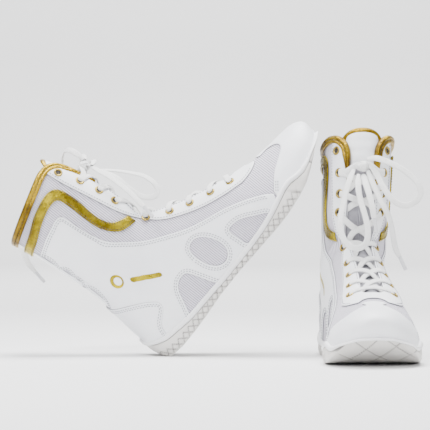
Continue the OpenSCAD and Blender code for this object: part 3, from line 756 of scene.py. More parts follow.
def stitches(shell, path, d, pitch=3.1, length=2.3, closed=False):
    """Separate raised stitches along a (u, t) line."""
    fine = resample(path, 0.5, closed=closed, d=d)
    if closed:
        fine = np.vstack([fine, fine[:1]])
    run = run_of(skin(*fine.T, d))
    starts = np.arange(0.4, run[-1] - length, pitch)
    if not len(starts):
        return
    s = starts[:, None] + STITCH_SHARE * length
    u, t = (np.interp(s, run, column) for column in fine.T)
    n = outward(u, t, d)
    centre = skin(u, t, d) + n * STITCH_RISE[None, :, None]
    across = unit(np.cross(n, unit(centre[:, -1] - centre[:, 0])[:, None]))
    a = np.linspace(0, 2 * np.pi, 6, endpoint=False)
    girth = STITCH_GIRTH[None, :, None, None]
    rings = (centre[:, :, None] + across[:, :, None] * (np.cos(a)[None, None, :, None] * girth)
             + n[:, :, None] * (np.sin(a)[None, None, :, None] * girth * 0.8))
    one = turned(grid_faces(5, 6, wrap=True)) + caps(5, 6)
    faces = [tuple(i + 30 * k for i in f) for k in range(len(starts)) for f in one]
    lengthwise = np.broadcast_to(s[:, :, None] / 1000, rings.shape[:3])
    uv = np.stack([lengthwise, np.broadcast_to(a * STITCH_RADIUS / 1000, rings.shape[:3])], -1)
    shell.add(rings, faces, np.broadcast_to(u[:, :, None], rings.shape[:3]), uv=uv)


def stitch_both(shell, path, d, **options):
    for turn in BOTH_SIDES:
        stitches(shell, turn(path), d, **options)


def throat(u):
    """Place of the eyestay's front edge, which rounds back at the collar's corner."""
    return np.interp(u, [8, 21, 24, 27, 27.7, 28.2, 28.55, 28.85, 29.1, 29.28, 29.4],
                     [0.13, 0.125, 0.115, 0.105, 0.106, 0.116, 0.135, 0.168, 0.21, 0.26, 0.33])


# ---------------------------------------------------------------- outlines of the cut pieces
# Side-view lines as (forwards, height above the sole's underside) in mm
EYESTAY_REAR = [(91, 224), (94, 200), (98, 180), (102, 160), (106, 140), (111, 124), (118, 110), (130, 94),
                (150, 79), (170, 68), (190, 60), (206, 55), (214, 53), (226, 53), (236, 55), (241, 57)]
OVERLAY_TOP = [(21, 172), (30, 175), (40, 178), (50, 180), (60, 182), (66, 180), (68, 174), (69, 160),
               (71, 144), (76, 126), (86, 112), (100, 96), (120, 81), (140, 68), (160, 59), (180, 51),
               (200, 40), (216, 29), (224, 21)]
OVERLAY_BACK = [(24, 74), (22, 80), (26, 90), (28, 106), (23, 116), (27, 124), (25, 130), (27, 140),
                (22, 148), (24, 160), (21, 172)]
TOE_CAP_EDGE = [(224, 21), (240, 33), (254, 39), (266, 44), (268, 48), (264, 52), (252, 56)]
STRIPE_TOP = [(13, 189), (30, 194), (50, 202), (70, 206), (80, 205), (86, 200), (89, 190), (90, 174),
              (89, 156), (90, 144), (94, 134), (102, 128), (110, 125)]
STRIPE_LOW = [(14, 178), (30, 183), (50, 191), (66, 195), (76, 194), (79, 188), (80, 176), (80, 160),
              (81, 144), (85, 132), (92, 122), (100, 118), (111, 115)]
COUNTER = [(19, 86), (25, 77), (36, 68), (48, 58), (56, 50), (60, 44), (59, 38), (54, 34), (44, 28),
           (40, 20), (39, 13)]
WINDOW_HEEL = [(69, 8), (72, 14), (76, 22), (82, 34), (88, 40), (95, 42), (102, 40), (107, 28), (111, 16),
               (113, 9), (104, 7.5), (90, 7.5), (78, 7.5)]
WINDOW_MIDDLE = [(121, 43), (123, 52), (130, 56), (138, 54), (145, 46), (149, 34), (148, 24), (142, 18),
                 (135, 17), (128, 21), (123, 30)]
WINDOW_FRONT = [(164, 30), (166, 34), (173, 34), (182, 31), (194, 22), (204, 13), (192, 9.5), (172, 9),
                (166, 12), (165, 20)]
EYELET_PLACES = [(28.15, 0.24), (26.6, 0.21), (25.0, 0.2), (23.05, 0.205), (14.75, 0.2), (12.2, 0.225),
                 (10.9, 0.235), (9.6, 0.24), (8.3, 0.24)]
SHAFT_EYELETS = 4

eyestay_rear = from_side(EYESTAY_REAR)
eyestay_rear = eyestay_rear[eyestay_rear[:, 0] < COLLAR_ROW]
eyestay_rear = np.vstack([[[COLLAR_ROW, eyestay_rear[0, 1]]], eyestay_rear])
overlay_top, overlay_back = from_side(OVERLAY_TOP), from_side(OVERLAY_BACK)
toe_cap_edge = from_side(TOE_CAP_EDGE)
cap_low = toe_cap_edge[0, 0]
cap_edge = smooth_line(np.vstack([toe_cap_edge[:-1], [[5.95, 0.2], [6.0, 0.1], [6.02, 0.0]]]), 1)
stripe_top, stripe_low = from_side(STRIPE_TOP), from_side(STRIPE_LOW)
counter = from_side(COUNTER)
windows = [from_side(w + w[:1])[:-1] for w in (WINDOW_HEEL, WINDOW_MIDDLE, WINDOW_FRONT)]


def rim(u, lower=0.0):
    """Place of the sole's upper edge round the boot, or one a little below it."""
    return np.interp(u, RIM_TOP[:, 0], RIM_TOP[:, 1]) + lower


def rim_line(first, last, lower):
    u = np.linspace(first, last, 40)
    return np.stack([u, rim(u, lower)], 1)


# ---------------------------------------------------------------- pieces of the upper
def layer(shell, us, t_first, t_last, columns, d, flip=False):
    """A sheet of the surface between two places round the boot at every station."""
    share = np.linspace(0, 1, columns)
    t = t_first(us)[:, None] * (1 - share) + t_last(us)[:, None] * share
    u = np.broadcast_to(us[:, None], t.shape)
    p = skin(u, t, d)
    widths = np.linalg.norm(np.diff(p, axis=1), axis=-1)
    girth = np.cumsum(np.concatenate([np.zeros((len(us), 1)), widths], 1), 1)
    faces = grid_faces(len(us), columns)
    n = np.cross(p[1, 1] - p[0, 0], p[1, 0] - p[0, 1])
    if (np.dot(n, outward(u[0, 0], t[0, 0], 0)) < 0) != flip:
        faces = turned(faces)
    shell.add(p, faces, u, uv=np.stack([p[..., 0], girth], -1) / 1000)


def past_throat(us):
    return 2 - throat(us)


def foot_layers(shell, lower, stations, columns, d, flip=False):
    """Both sides of the foot from the throat down to the sole's edge."""
    for sign in (1, -1):
        layer(shell, np.linspace(THROAT_LOW, HEEL_TOP, stations), lambda us: sign * throat(us),
              lambda us: sign * rim(us, lower).clip(0, 1), columns, d, flip)


def toe_layer(shell, first, stations, columns, d, flip=False):
    layer(shell, np.linspace(first, THROAT_LOW, stations), lambda us: -rim(us, 0.03),
          lambda us: rim(us, 0.03), columns, d, flip)


def upper_base(shell):
    foot_layers(shell, 0.03, 120, 70, 0.0)
    layer(shell, np.linspace(HEEL_TOP, COLLAR_ROW, 130), throat, past_throat, 150, 0.0)
    toe_layer(shell, 0.05, 90, 130, 0.0)


LINING_DEPTH = -2.6


def inner_lining(shell):
    layer(shell, np.linspace(HEEL_TOP, COLLAR_ROW - 0.05, 60), throat, past_throat, 80, LINING_DEPTH,
          flip=True)
    foot_layers(shell, 0.06, 60, 40, LINING_DEPTH, flip=True)
    toe_layer(shell, 0.4, 40, 60, LINING_DEPTH, flip=True)
    u = np.linspace(THROAT_LOW, COLLAR_ROW - 0.3, 160)
    faces = grid_faces(160, 3)
    for sign in (1, -1):
        edge = np.stack([skin(u, sign * throat(u), d) for d in (LINING_DEPTH, LINING_DEPTH / 2, 0.0)], 1)
        shell.add(edge, faces if sign > 0 else turned(faces), np.repeat(u, 3))


def eyestay_panels(shell):
    lower = smooth_line(np.vstack([eyestay_rear[-6:], [[6.98, 0.17], [6.86, 0.08], [6.84, 0.0]]]), 2)
    rear = np.vstack([eyestay_rear[:-6], lower])
    u = np.linspace(COLLAR_ROW - 0.06, 8.4, 90)
    front = np.stack([u, throat(u) + 0.002], 1)
    inner = np.vstack([front, [[8.05, 0.12], [7.82, 0.09], [7.72, 0.05], [7.7, 0.0]]])
    loop = np.vstack([rear, mirror(rear)[1:], inner * [1, -1], inner[::-1][1:]])
    panel(shell, loop, base=0.2, top=1.9, spacing=3.2, edge=0.6)


def side_overlays(shell):
    first = overlay_top[-1, 0]
    low = rim_line(first, 16.8, 0.025)
    low = low[low[:, 0] > first + 0.1]
    outer = np.vstack([overlay_top, low, [[17.3, 0.85], [18.2, 0.9]], overlay_back[:-1]])
    for turn in BOTH_SIDES:
        panel(shell, turn(outer), [turn(h) for h in windows], base=0.0, top=1.5, edge=0.6)


def toe_cap_panel(shell):
    half = np.vstack([rim_line(cap_low, 0.02, 0.025)[::-1], cap_edge[1:]])
    panel(shell, np.vstack([half, mirror(half)[1:]]), base=0.0, top=1.5, spacing=2.6, edge=0.6)
    # A small dome closes the tip
    ring = skin(np.full(41, 0.14), np.linspace(-1, 1, 41), 1.5)
    tip = skin(0.14, np.array([-0.55, 0.55]), 0.4).mean(0) + [1.9, 0, 0]
    verts = np.concatenate([ring, ring * 0.5 + tip * 0.5 + [0.45, 0, 0], tip[None]])
    faces = [(i, i + 1, 42 + i, 41 + i) for i in range(40)] + [(41 + i, 42 + i, 82) for i in range(40)]
    if np.cross(verts[42] - verts[41], verts[82] - verts[41])[0] < 0:
        faces = turned(faces)
    shell.add(verts, faces, 0.1)


def heel_counter_panel(shell):
    low = [[18.75, 1.0], [18.6, 0.95], [18.1, 0.87], [17.6, 0.82], [17, 0.79], [16.2, 0.78]]
    half = np.vstack([low, counter[::-1]])
    panel(shell, np.vstack([half, round_back(half)[1:-1]]), base=1.2, top=2.7, edge=0.6)


def plain_mark(shell):
    """A ring and a bar of gold film on the side, with no lettering."""
    a = np.linspace(0, 2 * np.pi, 40, endpoint=False)
    ring, core = (from_side([(x + wide * math.cos(k), z + high * math.sin(k)) for k in a], smooth=False)
                  for x, z, wide, high in ((50, 92, 6.5, 8.0), (50.8, 91.4, 3.8, 4.8)))
    share = np.linspace(0, 1, 14)
    bar = [(58 + 26 * f, 79.5 - 22.5 * f) for f in share] + [(87 - 26.5 * f, 61 + 24 * f) for f in share]
    bar = smooth_ring(from_side(bar, smooth=False), 1)
    for turn in BOTH_SIDES:
        for outer, holes in ((ring, [core]), (bar, [])):
            panel(shell, turn(outer), [turn(h) for h in holes], base=1.3, top=1.75, spacing=2.0, edge=0.25)


def back_stay(shell):
    layer(shell, np.linspace(18.6, COLLAR_ROW - 0.05, 100), lambda us: np.full(len(us), 0.87),
          lambda us: np.full(len(us), 1.13), 26, 0.9)


def stripe_panel(shell):
    outer = np.vstack([stripe_top, stripe_low[::-1]])
    for turn in BOTH_SIDES:
        panel(shell, turn(outer), base=1.2, top=2.5, spacing=2.4, edge=0.5)
    (ua, ta), (ub, tb) = stripe_top[0], stripe_low[0]
    back = np.array([[ua, ta - 0.02], [ua, 2 - ta + 0.02], [ub, 2 - tb + 0.02], [ub, tb - 0.02]])
    panel(shell, resample(back, 2.0, closed=True), base=0.8, top=2.3, spacing=2.4, edge=0.5)


# Cross section of the collar's binding: distance down from the collar's edge, and depth
BINDING_PROFILE = [(7.0, 0.3), (7.2, 1.7), (6.5, 2.7), (5.3, 3.1), (4.2, 2.8), (3.5, 1.9), (2.8, 2.8),
                   (1.6, 3.4), (0.2, 2.9), (-1.0, 1.8), (-1.6, 0.2), (-1.7, -1.6), (-1.1, -3.2), (0.6, -4.2),
                   (3.5, -4.2), (6.6, -3.6), (7.0, -2.4)]


def binding_line():
    u = np.linspace(25.6, COLLAR_ROW - 0.03, 60)
    rise = np.stack([u, throat(u) + 0.004], 1)
    half = np.vstack([rise, np.stack([np.full(30, COLLAR_ROW), np.linspace(0.35, 1, 30)], 1)])
    return smooth_line(resample(np.vstack([half, round_back(half)[1:]]), 1.5), 5)


binding_path = binding_line()


def into_shaft(line_d):
    """Directions from the collar's edge down into the shaft."""
    left = left_of(binding_path, 0.5, line_d)
    return left * (-1.0 if left[len(left) // 2][2] > 0 else 1.0)


def collar(shell):
    n, m = len(binding_path), len(BINDING_PROFILE)
    steps = np.arange(n)
    share = np.clip(np.minimum(steps, steps[::-1]) / 22, 0.25, 1)
    inwards = into_shaft(0.5)
    rings = np.stack([skin(*slide(binding_path, inwards * (s * share)[:, None], 0.5).T, d)
                      for s, d in BINDING_PROFILE], 1)
    run = run_of(skin(*binding_path.T, 0.5))
    uv = np.stack(np.broadcast_arrays(run[:, None], np.linspace(0, 30, m)[None]), -1) / 1000
    faces = grid_faces(n, m, wrap=True) + caps(n, m)
    middle, test = n // 2, n // 2 * m + 2
    verts = rings.reshape(-1, 3)
    faces = facing(faces, verts, test, verts[faces[test][0]] - rings[middle].mean(0))
    shell.add(verts, faces, np.broadcast_to(binding_path[:, :1], (n, m)), uv=uv)


def binding_stitches(shell):
    row = slide(binding_path, into_shaft(1.9) * 3.5, 0.5)
    stitches(shell, smooth_line(row, 2)[10:-10], 2.3, pitch=3.4, length=2.6)


TONGUE_HALF = 0.19
TONGUE_PLAIN = 27.2  # station above which the tongue is leather


def tongue_edge(t):
    return 28.4 + 1.15 * np.sqrt(np.maximum(1 - (t / 0.2) ** 2, 0))


def tongue_shell(shell):
    t = np.linspace(-TONGUE_HALF, TONGUE_HALF, 41)
    u = THROAT_LOW + (tongue_edge(t) - THROAT_LOW) * np.linspace(0, 1, 150)[:, None]
    across = np.broadcast_to(t, u.shape)
    quilt = 0.55 * np.abs(np.sin(np.pi * u * 1.25)) ** 0.5
    edge = np.clip((TONGUE_HALF - np.abs(across)) / 0.05, 0, 1) ** 0.5
    uv = np.stack([across * 0.15, np.cumsum(np.full(u.shape, 0.0018), 0)], -1)
    for depth, inner in ((-5.2 + (1.2 + quilt) * edge, False), (-6.6, True)):
        p = skin(u, across, depth)
        faces = grid_faces(*u.shape)
        n = np.cross(p[1, 1] - p[0, 0], p[1, 0] - p[0, 1])
        if (np.dot(n, [1, 0, 1]) < 0) != inner:
            faces = turned(faces)
        marks = [int(u.flat[f[0]] > TONGUE_PLAIN and not inner) for f in faces]
        shell.add(p, faces, u, uv=uv, mark=marks)


def tongue_binding(shell):
    n, m = 60, 16
    t = np.linspace(-0.192, 0.192, n)
    centre = skin(tongue_edge(t) + 0.02, t, -4.9)
    way = unit(np.gradient(centre, axis=0))
    out = unit(np.broadcast_to([0.9, 0, 0.35], (n, 3)))
    out = unit(out - way * np.sum(out * way, 1, keepdims=True))
    up = np.cross(way, out)
    a = np.linspace(0, 2 * np.pi, m, endpoint=False)
    rings = (centre[:, None] + out[:, None] * (np.cos(a) * 1.9)[None, :, None]
             + up[:, None] * (np.sin(a) * 3.2)[None, :, None])
    uv = np.stack(np.broadcast_arrays(np.linspace(0, 80, n)[:, None], (a * 3)[None]), -1) / 1000
    shell.add(rings, turned(grid_faces(n, m, wrap=True) + caps(n, m)), 30.0, uv=uv)


# Outlines of the eyelet and of the dark disc in it, a painted shadow that fills the hole: radius, and height
# above the leather
EYELET_PROFILE = [(4.6, -0.3), (4.8, 0.1), (4.6, 0.6), (4.1, 0.95), (3.5, 1.0), (2.9, 0.7), (2.6, 0.1),
                  (2.55, -0.9)]
HOLE_SHADE_PROFILE = [(2.62, 0.35), (2.6, 0.14), (1.2, 0.1), (0.02, 0.1)]
LEATHER_TOP = 1.9


def lathe(shell, u, t, profile, mark, sides=24):
    """A turned fitting standing on the leather."""
    c, n = skin(u, t, LEATHER_TOP), outward(u, t, LEATHER_TOP)
    pu, _ = partials(u, t, LEATHER_TOP)
    e1 = unit(pu - n * np.dot(pu, n))
    e2 = np.cross(n, e1)
    angles = np.linspace(0, 2 * np.pi, sides, endpoint=False)
    rings = [[c + n * h + r * (e1 * math.cos(k) + e2 * math.sin(k)) for k in angles] for r, h in profile]
    shell.add(rings, grid_faces(len(profile), sides, wrap=True), u, mark=mark)


def eyelet_rings(shell, places):
    for u, t in places:
        for sign in (1, -1):
            for mark, profile in enumerate((EYELET_PROFILE, HOLE_SHADE_PROFILE)):
                lathe(shell, u, sign * t, profile, mark)


# ---------------------------------------------------------------- crossing laces and knot
def strand(shell, points):
    """A lace through (u, t, depth) points on the surface."""
    last = len(points) - 1
    fine = catmull(points, np.linspace(0, last, 10 * last + 1))
    line = skin(*fine.T)
    steps = np.arange(len(line))
    pick = np.linspace(0, steps[-1], max(int(run_of(line)[-1] / 1.3), 8))
    verts, faces, uv = ribbon(read_at(pick, steps, line), outward(*fine.T[:2], 0), ends=(0.55, 0.8))
    shell.add(verts, faces, np.repeat(np.interp(pick, steps, fine[:, 0]), LACE_SIDES), uv=uv)


def lace_crossings(shell):
    rng = np.random.default_rng(7)
    for i in range(2, len(EYELET_PLACES)):
        (ua, ta), (ub, tb) = EYELET_PLACES[i - 1:i + 1]
        for sign in (1, -1):
            over = 1.1 if (sign > 0) == (i % 2 == 0) else -0.5
            end_u = ub + (ua - ub) * 0.16 + rng.uniform(-0.08, 0.08)
            strand(shell, [(ua - 0.04, sign * (ta - 0.006), 0.7),
                           (ua - (ua - ub) * 0.05, sign * (ta - 0.022), 3.1),
                           (ua - (ua - ub) * 0.17, sign * (throat(ua) + 0.012), 3.1),
                           (ua - (ua - ub) * 0.44, sign * 0.015, 1.2 + over),
                           (ua - (ua - ub) * 0.6, -sign * 0.06, -0.3 + over * 0.6),
                           (end_u + 0.05, -sign * (throat(end_u) + 0.01), -2.6),
                           (end_u - 0.02, -sign * (tb * 0.95), -2.9)])
    u, t = EYELET_PLACES[-1]
    strand(shell, [(u, t, 0.9), (u, t - 0.03, 3.0), (u - 0.03, t * 0.45, 3.0), (u - 0.04, 0, 2.9),
                   (u - 0.03, -t * 0.45, 3.0), (u, -t + 0.03, 3.0), (u, -t, 0.9)])
    u, t = EYELET_PLACES[1]
    for sign in (1, -1):
        strand(shell, [(u + 0.02, sign * t, 0.9), (u, sign * (t - 0.02), 3.0), (u - 0.03, sign * 0.12, 3.6),
                       (26.9, sign * 0.04, 5.0), (26.85, sign * 0.01, 5.6)])


# Turns of the knot: tilt, half width, half height, lift and where on the turn it starts
KNOT_TURNS = ((0.15, 6.0, 3.4, -0.6, 0.0), (0.5, 5.2, 3.8, 0.8, 1.2), (1.6, 4.4, 5.0, 0.2, 2.2))


def knot(shell, centre, axes):
    """Laces wound round each other where the bow is tied: two turns one way and a wrap over them."""
    a = np.linspace(0, 2 * np.pi, 34)
    for tilt, wide, high, lift, turn in KNOT_TURNS:
        e1 = axes[0] * math.cos(tilt) + axes[1] * math.sin(tilt)
        line = (centre + axes[2] * lift + e1 * (np.cos(a + turn) * wide)[:, None]
                + axes[2] * (np.sin(a + turn) * high)[:, None])
        verts, faces, uv = ribbon(line, unit(line - centre), width=6.2, thick=2.4)
        shell.add(verts, faces, 26.8, uv=uv)


# ---------------------------------------------------------------- sole
# Height of the sole's underside over the floor at places along the boot
UNDERSIDE = np.array([[13, 24], [15, 19], [19, 8], [23, 3], [40, 0.3], [60, 0.2], [80, 1.0], [108, 3],
                      [140, 3], [160, 2], [180, 1.2], [200, 0.4], [220, 0.8], [240, 3.2], [254, 5.8],
                      [270, 12], [285, 19.5], [298, 27.2], [304, 31]])
LIP_HEIGHT = 4.6
# Cross section of the white lip: how far out, and how far below the edge
LIP_PROFILE = ((-1.6, -0.2), (0.6, -1.0), (2.4, -0.7), (3.5, 0.4), (3.8, 1.8), (3.5, 3.3), (2.5, 4.3))
LOWEST = 0.05
ZIGZAG_PITCH, ZIGZAG_HEIGHT = 17.0, 9.0
SLANT_PITCH, HERRING_PITCH = 26.0, 9.0


def underside(x):
    return np.interp(x, *UNDERSIDE.T)


def even_closed(points, step):
    """A closed line of points (with more columns after x, y, z) in even steps, and how far along each is."""
    p = np.vstack([points, points[:1]])
    run = run_of(p)
    s = np.linspace(0, run[-1], int(run[-1] / step) + 1)[:-1]
    return read_at(s, run, p), s


def triangle_wave(x):
    return 2 * np.abs(x - np.floor(x + 0.5))


def groove(distance, width):
    return np.exp(-(distance / width) ** 2)


def sole_line():
    """The sole's upper edge all round, with the station of each point, and distances along it."""
    u = np.concatenate([np.linspace(*span) for span in ((HEEL_TOP, 17.2, 30), (17.1, 3, 190), (2.9, 0, 70))])
    lateral = np.stack([u, rim(u)], 1)
    medial = lateral[::-1][1:-1].copy()
    medial[:, 1] = np.where(medial[:, 0] > 16, 2 - medial[:, 1], -medial[:, 1])
    path = np.vstack([lateral, medial])
    line, s = even_closed(np.concatenate([skin(*path.T, 1.5), path[:, :1]], 1), 1.25)
    line = smooth_ring(line, 6)
    return line[:, :3], line[:, 3], s


def sole(shell):
    edge, station, s = sole_line()
    n = len(edge)
    way = np.roll(edge, -1, 0) - np.roll(edge, 1, 0)
    out = unit(np.stack([way[:, 1], -way[:, 0], np.zeros(n)], -1))
    if np.sum(out * (edge - edge.mean(0))) < 0:
        out = -out
    out = unit(smooth_ring(out, 8))
    low_z = smooth_ring(underside(edge[:, 0] + out[:, 0] * 1.5)[:, None], 6)[:, 0]
    lip = np.minimum(LIP_HEIGHT, np.maximum(edge[:, 2] - low_z, 4.2) * 0.45)
    toe = np.clip((edge[:, 0] - 232) / 14, 0, 1)
    rings, groove_shades = [], []

    def ring(reach, z, groove_shade):
        xy = edge[:, :2] + out[:, :2] * np.broadcast_to(reach, n)[:, None]
        rings.append(np.concatenate([xy, z[:, None]], 1))
        groove_shades.append(np.broadcast_to(groove_shade, n))

    for reach, drop in LIP_PROFILE:
        ring(reach, edge[:, 2] - (drop * lip / LIP_HEIGHT if drop > 0 else drop), 0.0)
    top_z = edge[:, 2] - lip
    for share in np.linspace(0, 1, 19):
        z = top_z * (1 - share) + low_z * share
        h = z - low_z
        zigzag = triangle_wave(s / ZIGZAG_PITCH) * ZIGZAG_HEIGHT
        side_cut = groove(np.minimum(np.abs(h - zigzag), np.abs(h - (ZIGZAG_HEIGHT - zigzag))), 0.75)
        slant = (edge[:, 1] + 0.5 * edge[:, 0] + 0.4 * h) / SLANT_PITCH
        toe_cut = groove(triangle_wave(slant) * SLANT_PITCH / 2, 0.9)
        cut = (side_cut * (1 - toe) + toe_cut * toe) * np.clip(np.minimum(share, 1 - share) * 9, 0, 1)
        # The top row, tucked under the lip, is cut in and takes the full groove colour: painted shade under
        # the lip.
        if share == 0:
            cut = np.ones(n)
        ring(2.3 + 0.5 * math.sin(math.pi * share) - 1.5 * share ** 4 - 1.2 * cut, z, cut)
    xs = np.linspace(edge[:, 0].min(), edge[:, 0].max(), 120)
    medial = edge[:, 1] >= np.interp(edge[:, 0], [20, 300], [0, 8])
    a, b = (np.interp(xs, *half[np.argsort(half[:, 0])][:, :2].T) for half in (edge[~medial], edge[medial]))
    centre = (a + b) / 2
    core_x = edge[:, 0].clip(24, 292)
    core_y = np.interp(core_x, xs, centre)
    brim = rings[-1]
    for share in np.linspace(0.035, 1, 26):
        x = brim[:, 0] * (1 - share) + core_x * share
        y = brim[:, 1] * (1 - share) + core_y * share
        chevron = (x + 0.8 * np.abs(y - np.interp(x, xs, centre))) / HERRING_PITCH
        heel_cut = groove(triangle_wave(chevron) * HERRING_PITCH / 2, 0.8)
        facets = np.minimum(triangle_wave((y + 0.5 * x) / 26.0) * 13.0,
                            triangle_wave((y - 0.9 * x) / 34.0) * 17.0)
        front = np.clip((x - 236) / 8, 0, 1)
        cut = (heel_cut * (1 - front) + groove(facets, 0.75) * front) * np.clip(share * 8 - 0.2, 0, 1)
        rings.append(np.stack([x, y, underside(x) + 0.9 * cut + LOWEST], 1))
        groove_shades.append(cut)
    p = np.stack(rings)
    p[..., 2] = np.maximum(p[..., 2], LOWEST)
    verts = p.reshape(-1, 3)
    faces = facing(grid_faces(len(rings), n, wrap=True), verts, 4 * n + n // 4, out[n // 4])
    marks = np.repeat(np.arange(1, len(rings)) >= len(LIP_PROFILE), n).astype(int).tolist()
    # U carries the groove mask, which the rubber paints dark as shade in the grooves.
    groove_shade = np.concatenate(groove_shades)
    uv = np.stack([groove_shade, np.zeros(len(groove_shade))], 1)
    shell.add(verts, faces, np.tile(station, len(rings)), uv=uv, mark=marks)


def footbed(shell):
    u = np.concatenate([np.linspace(18.3, 17, 20), np.linspace(16.9, 1.2, 120)])
    back = u[::-1]
    lateral = skin(u, rim(u).clip(0, 0.995), -2.8)
    medial = skin(back, np.where(back > 16, 2 - rim(back), -rim(back)), -2.8)
    points = np.concatenate([np.vstack([lateral, medial]), np.concatenate([u, back])[:, None]], 1)
    line = smooth_ring(even_closed(points, 3)[0], 4)
    core_x = line[:, 0].clip(50, 270)
    core = np.stack([core_x, np.interp(core_x, [20, 130, 220, 300], [0, 1, 2, 7])], 1)
    rings = []
    for share in np.linspace(0, 1, 14):
        xy = line[:, :2] * (1 - share) + core * share
        rings.append(np.column_stack([xy, underside(xy[:, 0]) + 7.5 + 3 * (1 - share) ** 3]))
    n = len(line)
    verts = np.concatenate(rings)
    faces = facing(grid_faces(len(rings), n, wrap=True), verts, 5 * n, [0, 0, 1])
    shell.add(verts, faces, np.tile(line[:, 3], len(rings)), uv=verts[:, :2] / 1000)


# ---------------------------------------------------------------- stitch rows
def edge_rows(shell, path, distances, d, towards, **options):
    """Stitch rows inside an edge, on the side of the line where the point towards lies."""
    path = resample(path, 1.5)
    middle = len(path) // 2
    aim = skin(*towards, d)
    away = [np.linalg.norm(skin(*line[middle], d) - aim) for line in (path, line_beside(path, 2.0, d))]
    for distance in distances:
        stitch_both(shell, line_beside(path, distance if away[1] < away[0] else -distance, d), d, **options)


PANEL_ROWS, OVERLAY_DEPTH = (2.2, 4.4), 1.55
GOLD_STITCH = {"pitch": 2.9, "length": 2.1}


def white_stitches(shell):
    for loop in windows:
        for distance in (2.4, 4.6):
            ring = resized(resample(loop, 1.3, closed=True), distance, 1.5, larger=True)
            stitch_both(shell, ring, OVERLAY_DEPTH, closed=True)
    edge_rows(shell, overlay_top[:-3], PANEL_ROWS, OVERLAY_DEPTH, (20, 0.8))
    edge_rows(shell, overlay_back[1:], PANEL_ROWS, OVERLAY_DEPTH, (22, 0.6))
    edge_rows(shell, eyestay_rear[1:-5], (2.2,), 1.95, (16, 0.1))
    edge_rows(shell, cap_edge[1:8], PANEL_ROWS, OVERLAY_DEPTH, (2, 0.5))
    edge_rows(shell, counter, (2.0, 4.0), 2.75, (17.6, 0.95))
    u = np.linspace(25.0, 8.9, 70)
    edge_rows(shell, np.stack([u, throat(u)], 1), (2.0,), 1.95, (16, 0.5))


def gold_stitches(shell):
    for line, other in ((stripe_top, stripe_low), (stripe_low, stripe_top)):
        edge_rows(shell, line, (1.6,), 2.55, other[len(other) // 2], **GOLD_STITCH)


# ---------------------------------------------------------------- both boots
# How each piece is drawn, its name, materials and slot, what it bends with or rides on, and the
# CAD nodes it stands for
ALL, ANKLE, SHAFT = ("toe", "ankle"), ("ankle",), ("shaft",)
PIECES = [
    (upper_base, "mesh", [MESH], "rib_mesh", ALL,
     ("foot_mesh", "shaft_mesh", "toe_flex_zone", "ankle_flex_zone")),
    (inner_lining, "lining", [LINING], "lining_cloth", ALL, ("foot_lining", "toe_lining", "shaft_lining")),
    (footbed, "footbed", [FOOTBED], "lining_cloth", ALL, ("footbed", "insole_board")),
    (eyestay_panels, "eyestay", [WHITE, EDGE_SHADE], "white_leather", ALL, ("foot_eyestay", "shaft_eyestay")),
    (side_overlays, "overlay", [WHITE, EDGE_SHADE], "white_leather", ALL, ("side_panels", "shaft_panels")),
    (toe_cap_panel, "toe_cap_leather", [WHITE, EDGE_SHADE], "white_leather", ("toe",), ("toe_cap",)),
    (heel_counter_panel, "heel_counter_leather", [WHITE, EDGE_SHADE], "white_leather", ("foot",),
     ("heel_counter",)),
    (back_stay, "back_stay", [WHITE], "white_leather", ANKLE, ()),
    (stripe_panel, "gold_stripe", [GOLD, GOLD], "gold_leather", ANKLE, ("gold_stripes",)),
    (plain_mark, "gold_mark", [GOLD, GOLD], "gold_leather", ANKLE, ()),
    (collar, "collar_roll", [BINDING], "binding", SHAFT, ("collar_binding",)),
    (binding_stitches, "binding_stitches", [GOLD_THREAD], "binding", SHAFT, ()),
    (tongue_shell, "tongue", [TONGUE_CLOTH, WHITE], "white_leather", ALL, ("tongue",)),
    (tongue_binding, "tongue_binding", [BINDING], "binding", SHAFT, ()),
    (lambda shell: eyelet_rings(shell, EYELET_PLACES[SHAFT_EYELETS:]), "foot_eyelet_rings", [BRASS, EYELET_HOLE_SHADE],
     "brass_eyelet", ALL, ("foot_eyelets",)),
    (lambda shell: eyelet_rings(shell, EYELET_PLACES[:SHAFT_EYELETS]), "shaft_eyelet_rings", [BRASS, EYELET_HOLE_SHADE],
     "brass_eyelet", SHAFT, ("shaft_eyelets",)),
    (lace_crossings, "lace_rows", [LACE], "lace", ALL, ("lace_rows",)),
    (sole, "sole", [LIP, SOLE], "outsole_rubber", ALL, ("outsole", "sole_rim", "toe_sole")),
    (white_stitches, "stitches", [THREAD], "white_leather", ALL, ()),
    (gold_stitches, "stripe_stitches", [GOLD_THREAD], "gold_leather", ANKLE, ())]
# Where each knot is, which way it faces, and what its turns run square to
KNOTS = {"left": ([150.5, -56.5, 199.6], [0.0, -1.0, 0.25], [0, 0, -1]),
         "right": ([-142.8, -6.5, 199.5], [-0.3, -0.6, 1.0], [0, 1, 0.3])}

shells = []
for draw, *_ in PIECES:
    shells.append(Shell())
    draw(shells[-1])
for side in ("left", "right"):
    for shell, (_, name, *rest) in zip(shells, PIECES):
        made = build(shell, name, side, *rest)
    tied = Shell()
    centre, front, across = (np.array(v, float) for v in KNOTS[side])
    e3 = unit(front)
    e1 = unit(np.cross(across, e3))
    knot(tied, centre, (e1, np.cross(e3, e1), e3))
    verts, _, uv = tied.arrays()
    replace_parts(on_shaft(side, "knot", verts, tied.faces, uv, LACE, "lace"), side + "_lace_knot")

# ---------------------------------------------------------------- floor, backdrop and light
FLOOR_FRONT, FLOOR_BACK, WALL_TOP, STAGE_HALF, BEND_RADIUS = -4.5, 3.6, 3.0, 12.0, 0.5
floor = Look("pale_backdrop", (0.62, 0.62, 0.62), 0.85)
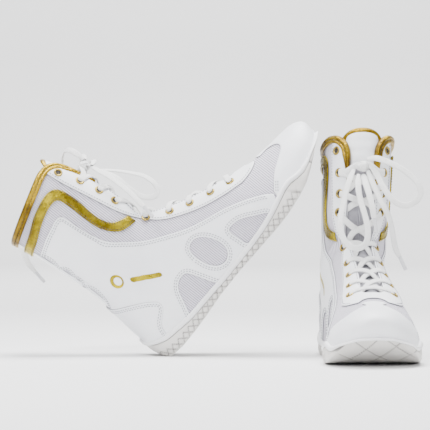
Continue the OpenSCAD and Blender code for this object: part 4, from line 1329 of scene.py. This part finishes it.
# The floor is painted lighter towards the front than at the wall: a painted pool of light.
depth = floor.add(floor.times(floor.split(floor.where())["Y"], 0.5), 0.2)
floor.colour(floor.ramp(depth, (0.25, (0.83, 0.83, 0.83)), (0.8, (0.625, 0.625, 0.625))))
floor.bump(floor.noise(floor.where(), 300, 3), 0.0002, 0.3)
bend = [(FLOOR_BACK + BEND_RADIUS * math.sin(a), BEND_RADIUS - BEND_RADIUS * math.cos(a))
        for a in np.linspace(0.15, math.pi / 2, 10)]
stage_profile = [(FLOOR_FRONT, 0), (FLOOR_BACK, 0)] + bend + [(FLOOR_BACK + BEND_RADIUS, WALL_TOP)]
verts = [(x, y, z) for y, z in stage_profile for x in (-STAGE_HALF, STAGE_HALF)]
faces = [(2 * i, 2 * i + 1, 2 * i + 3, 2 * i + 2) for i in range(len(stage_profile) - 1)]
mesh = bpy.data.meshes.new("backdrop")
mesh.from_pydata(verts, [], faces)
mesh.polygons.foreach_set("use_smooth", [True] * len(faces))
mesh.materials.append(floor.material)
mesh.update()
backdrop = bpy.data.objects.new("backdrop", mesh)
bpy.context.scene.collection.objects.link(backdrop)


def area_light(name, where, aim, size, power):
    lamp = bpy.data.lights.new(name, "AREA")
    lamp.shape, lamp.size, lamp.energy = "DISK", size, power
    obj = bpy.data.objects.new(name, lamp)
    obj.location = where
    obj.rotation_euler = (Vector(aim) - Vector(where)).to_track_quat("-Z", "Y").to_euler()
    bpy.context.scene.collection.objects.link(obj)


area_light("key", (-0.9, -1.3, 1.7), (0, 0.1, 0.1), 0.8, 60)
area_light("fill", (1.3, -1.2, 0.9), (0, 0.1, 0.1), 1.1, 9)
area_light("top", (0.1, 0.2, 1.9), (0, 0.1, 0.0), 1.2, 112)
area_light("back_wall", (0, 2.2, 2.4), (0, 4.1, 0.5), 2.0, 215)
world = bpy.data.worlds.new("studio")
bpy.context.scene.world = world
world.use_nodes = True
background = world.node_tree.nodes["Background"].inputs
background["Color"].default_value = (0.95, 0.96, 1, 1)
background["Strength"].default_value = 0.64
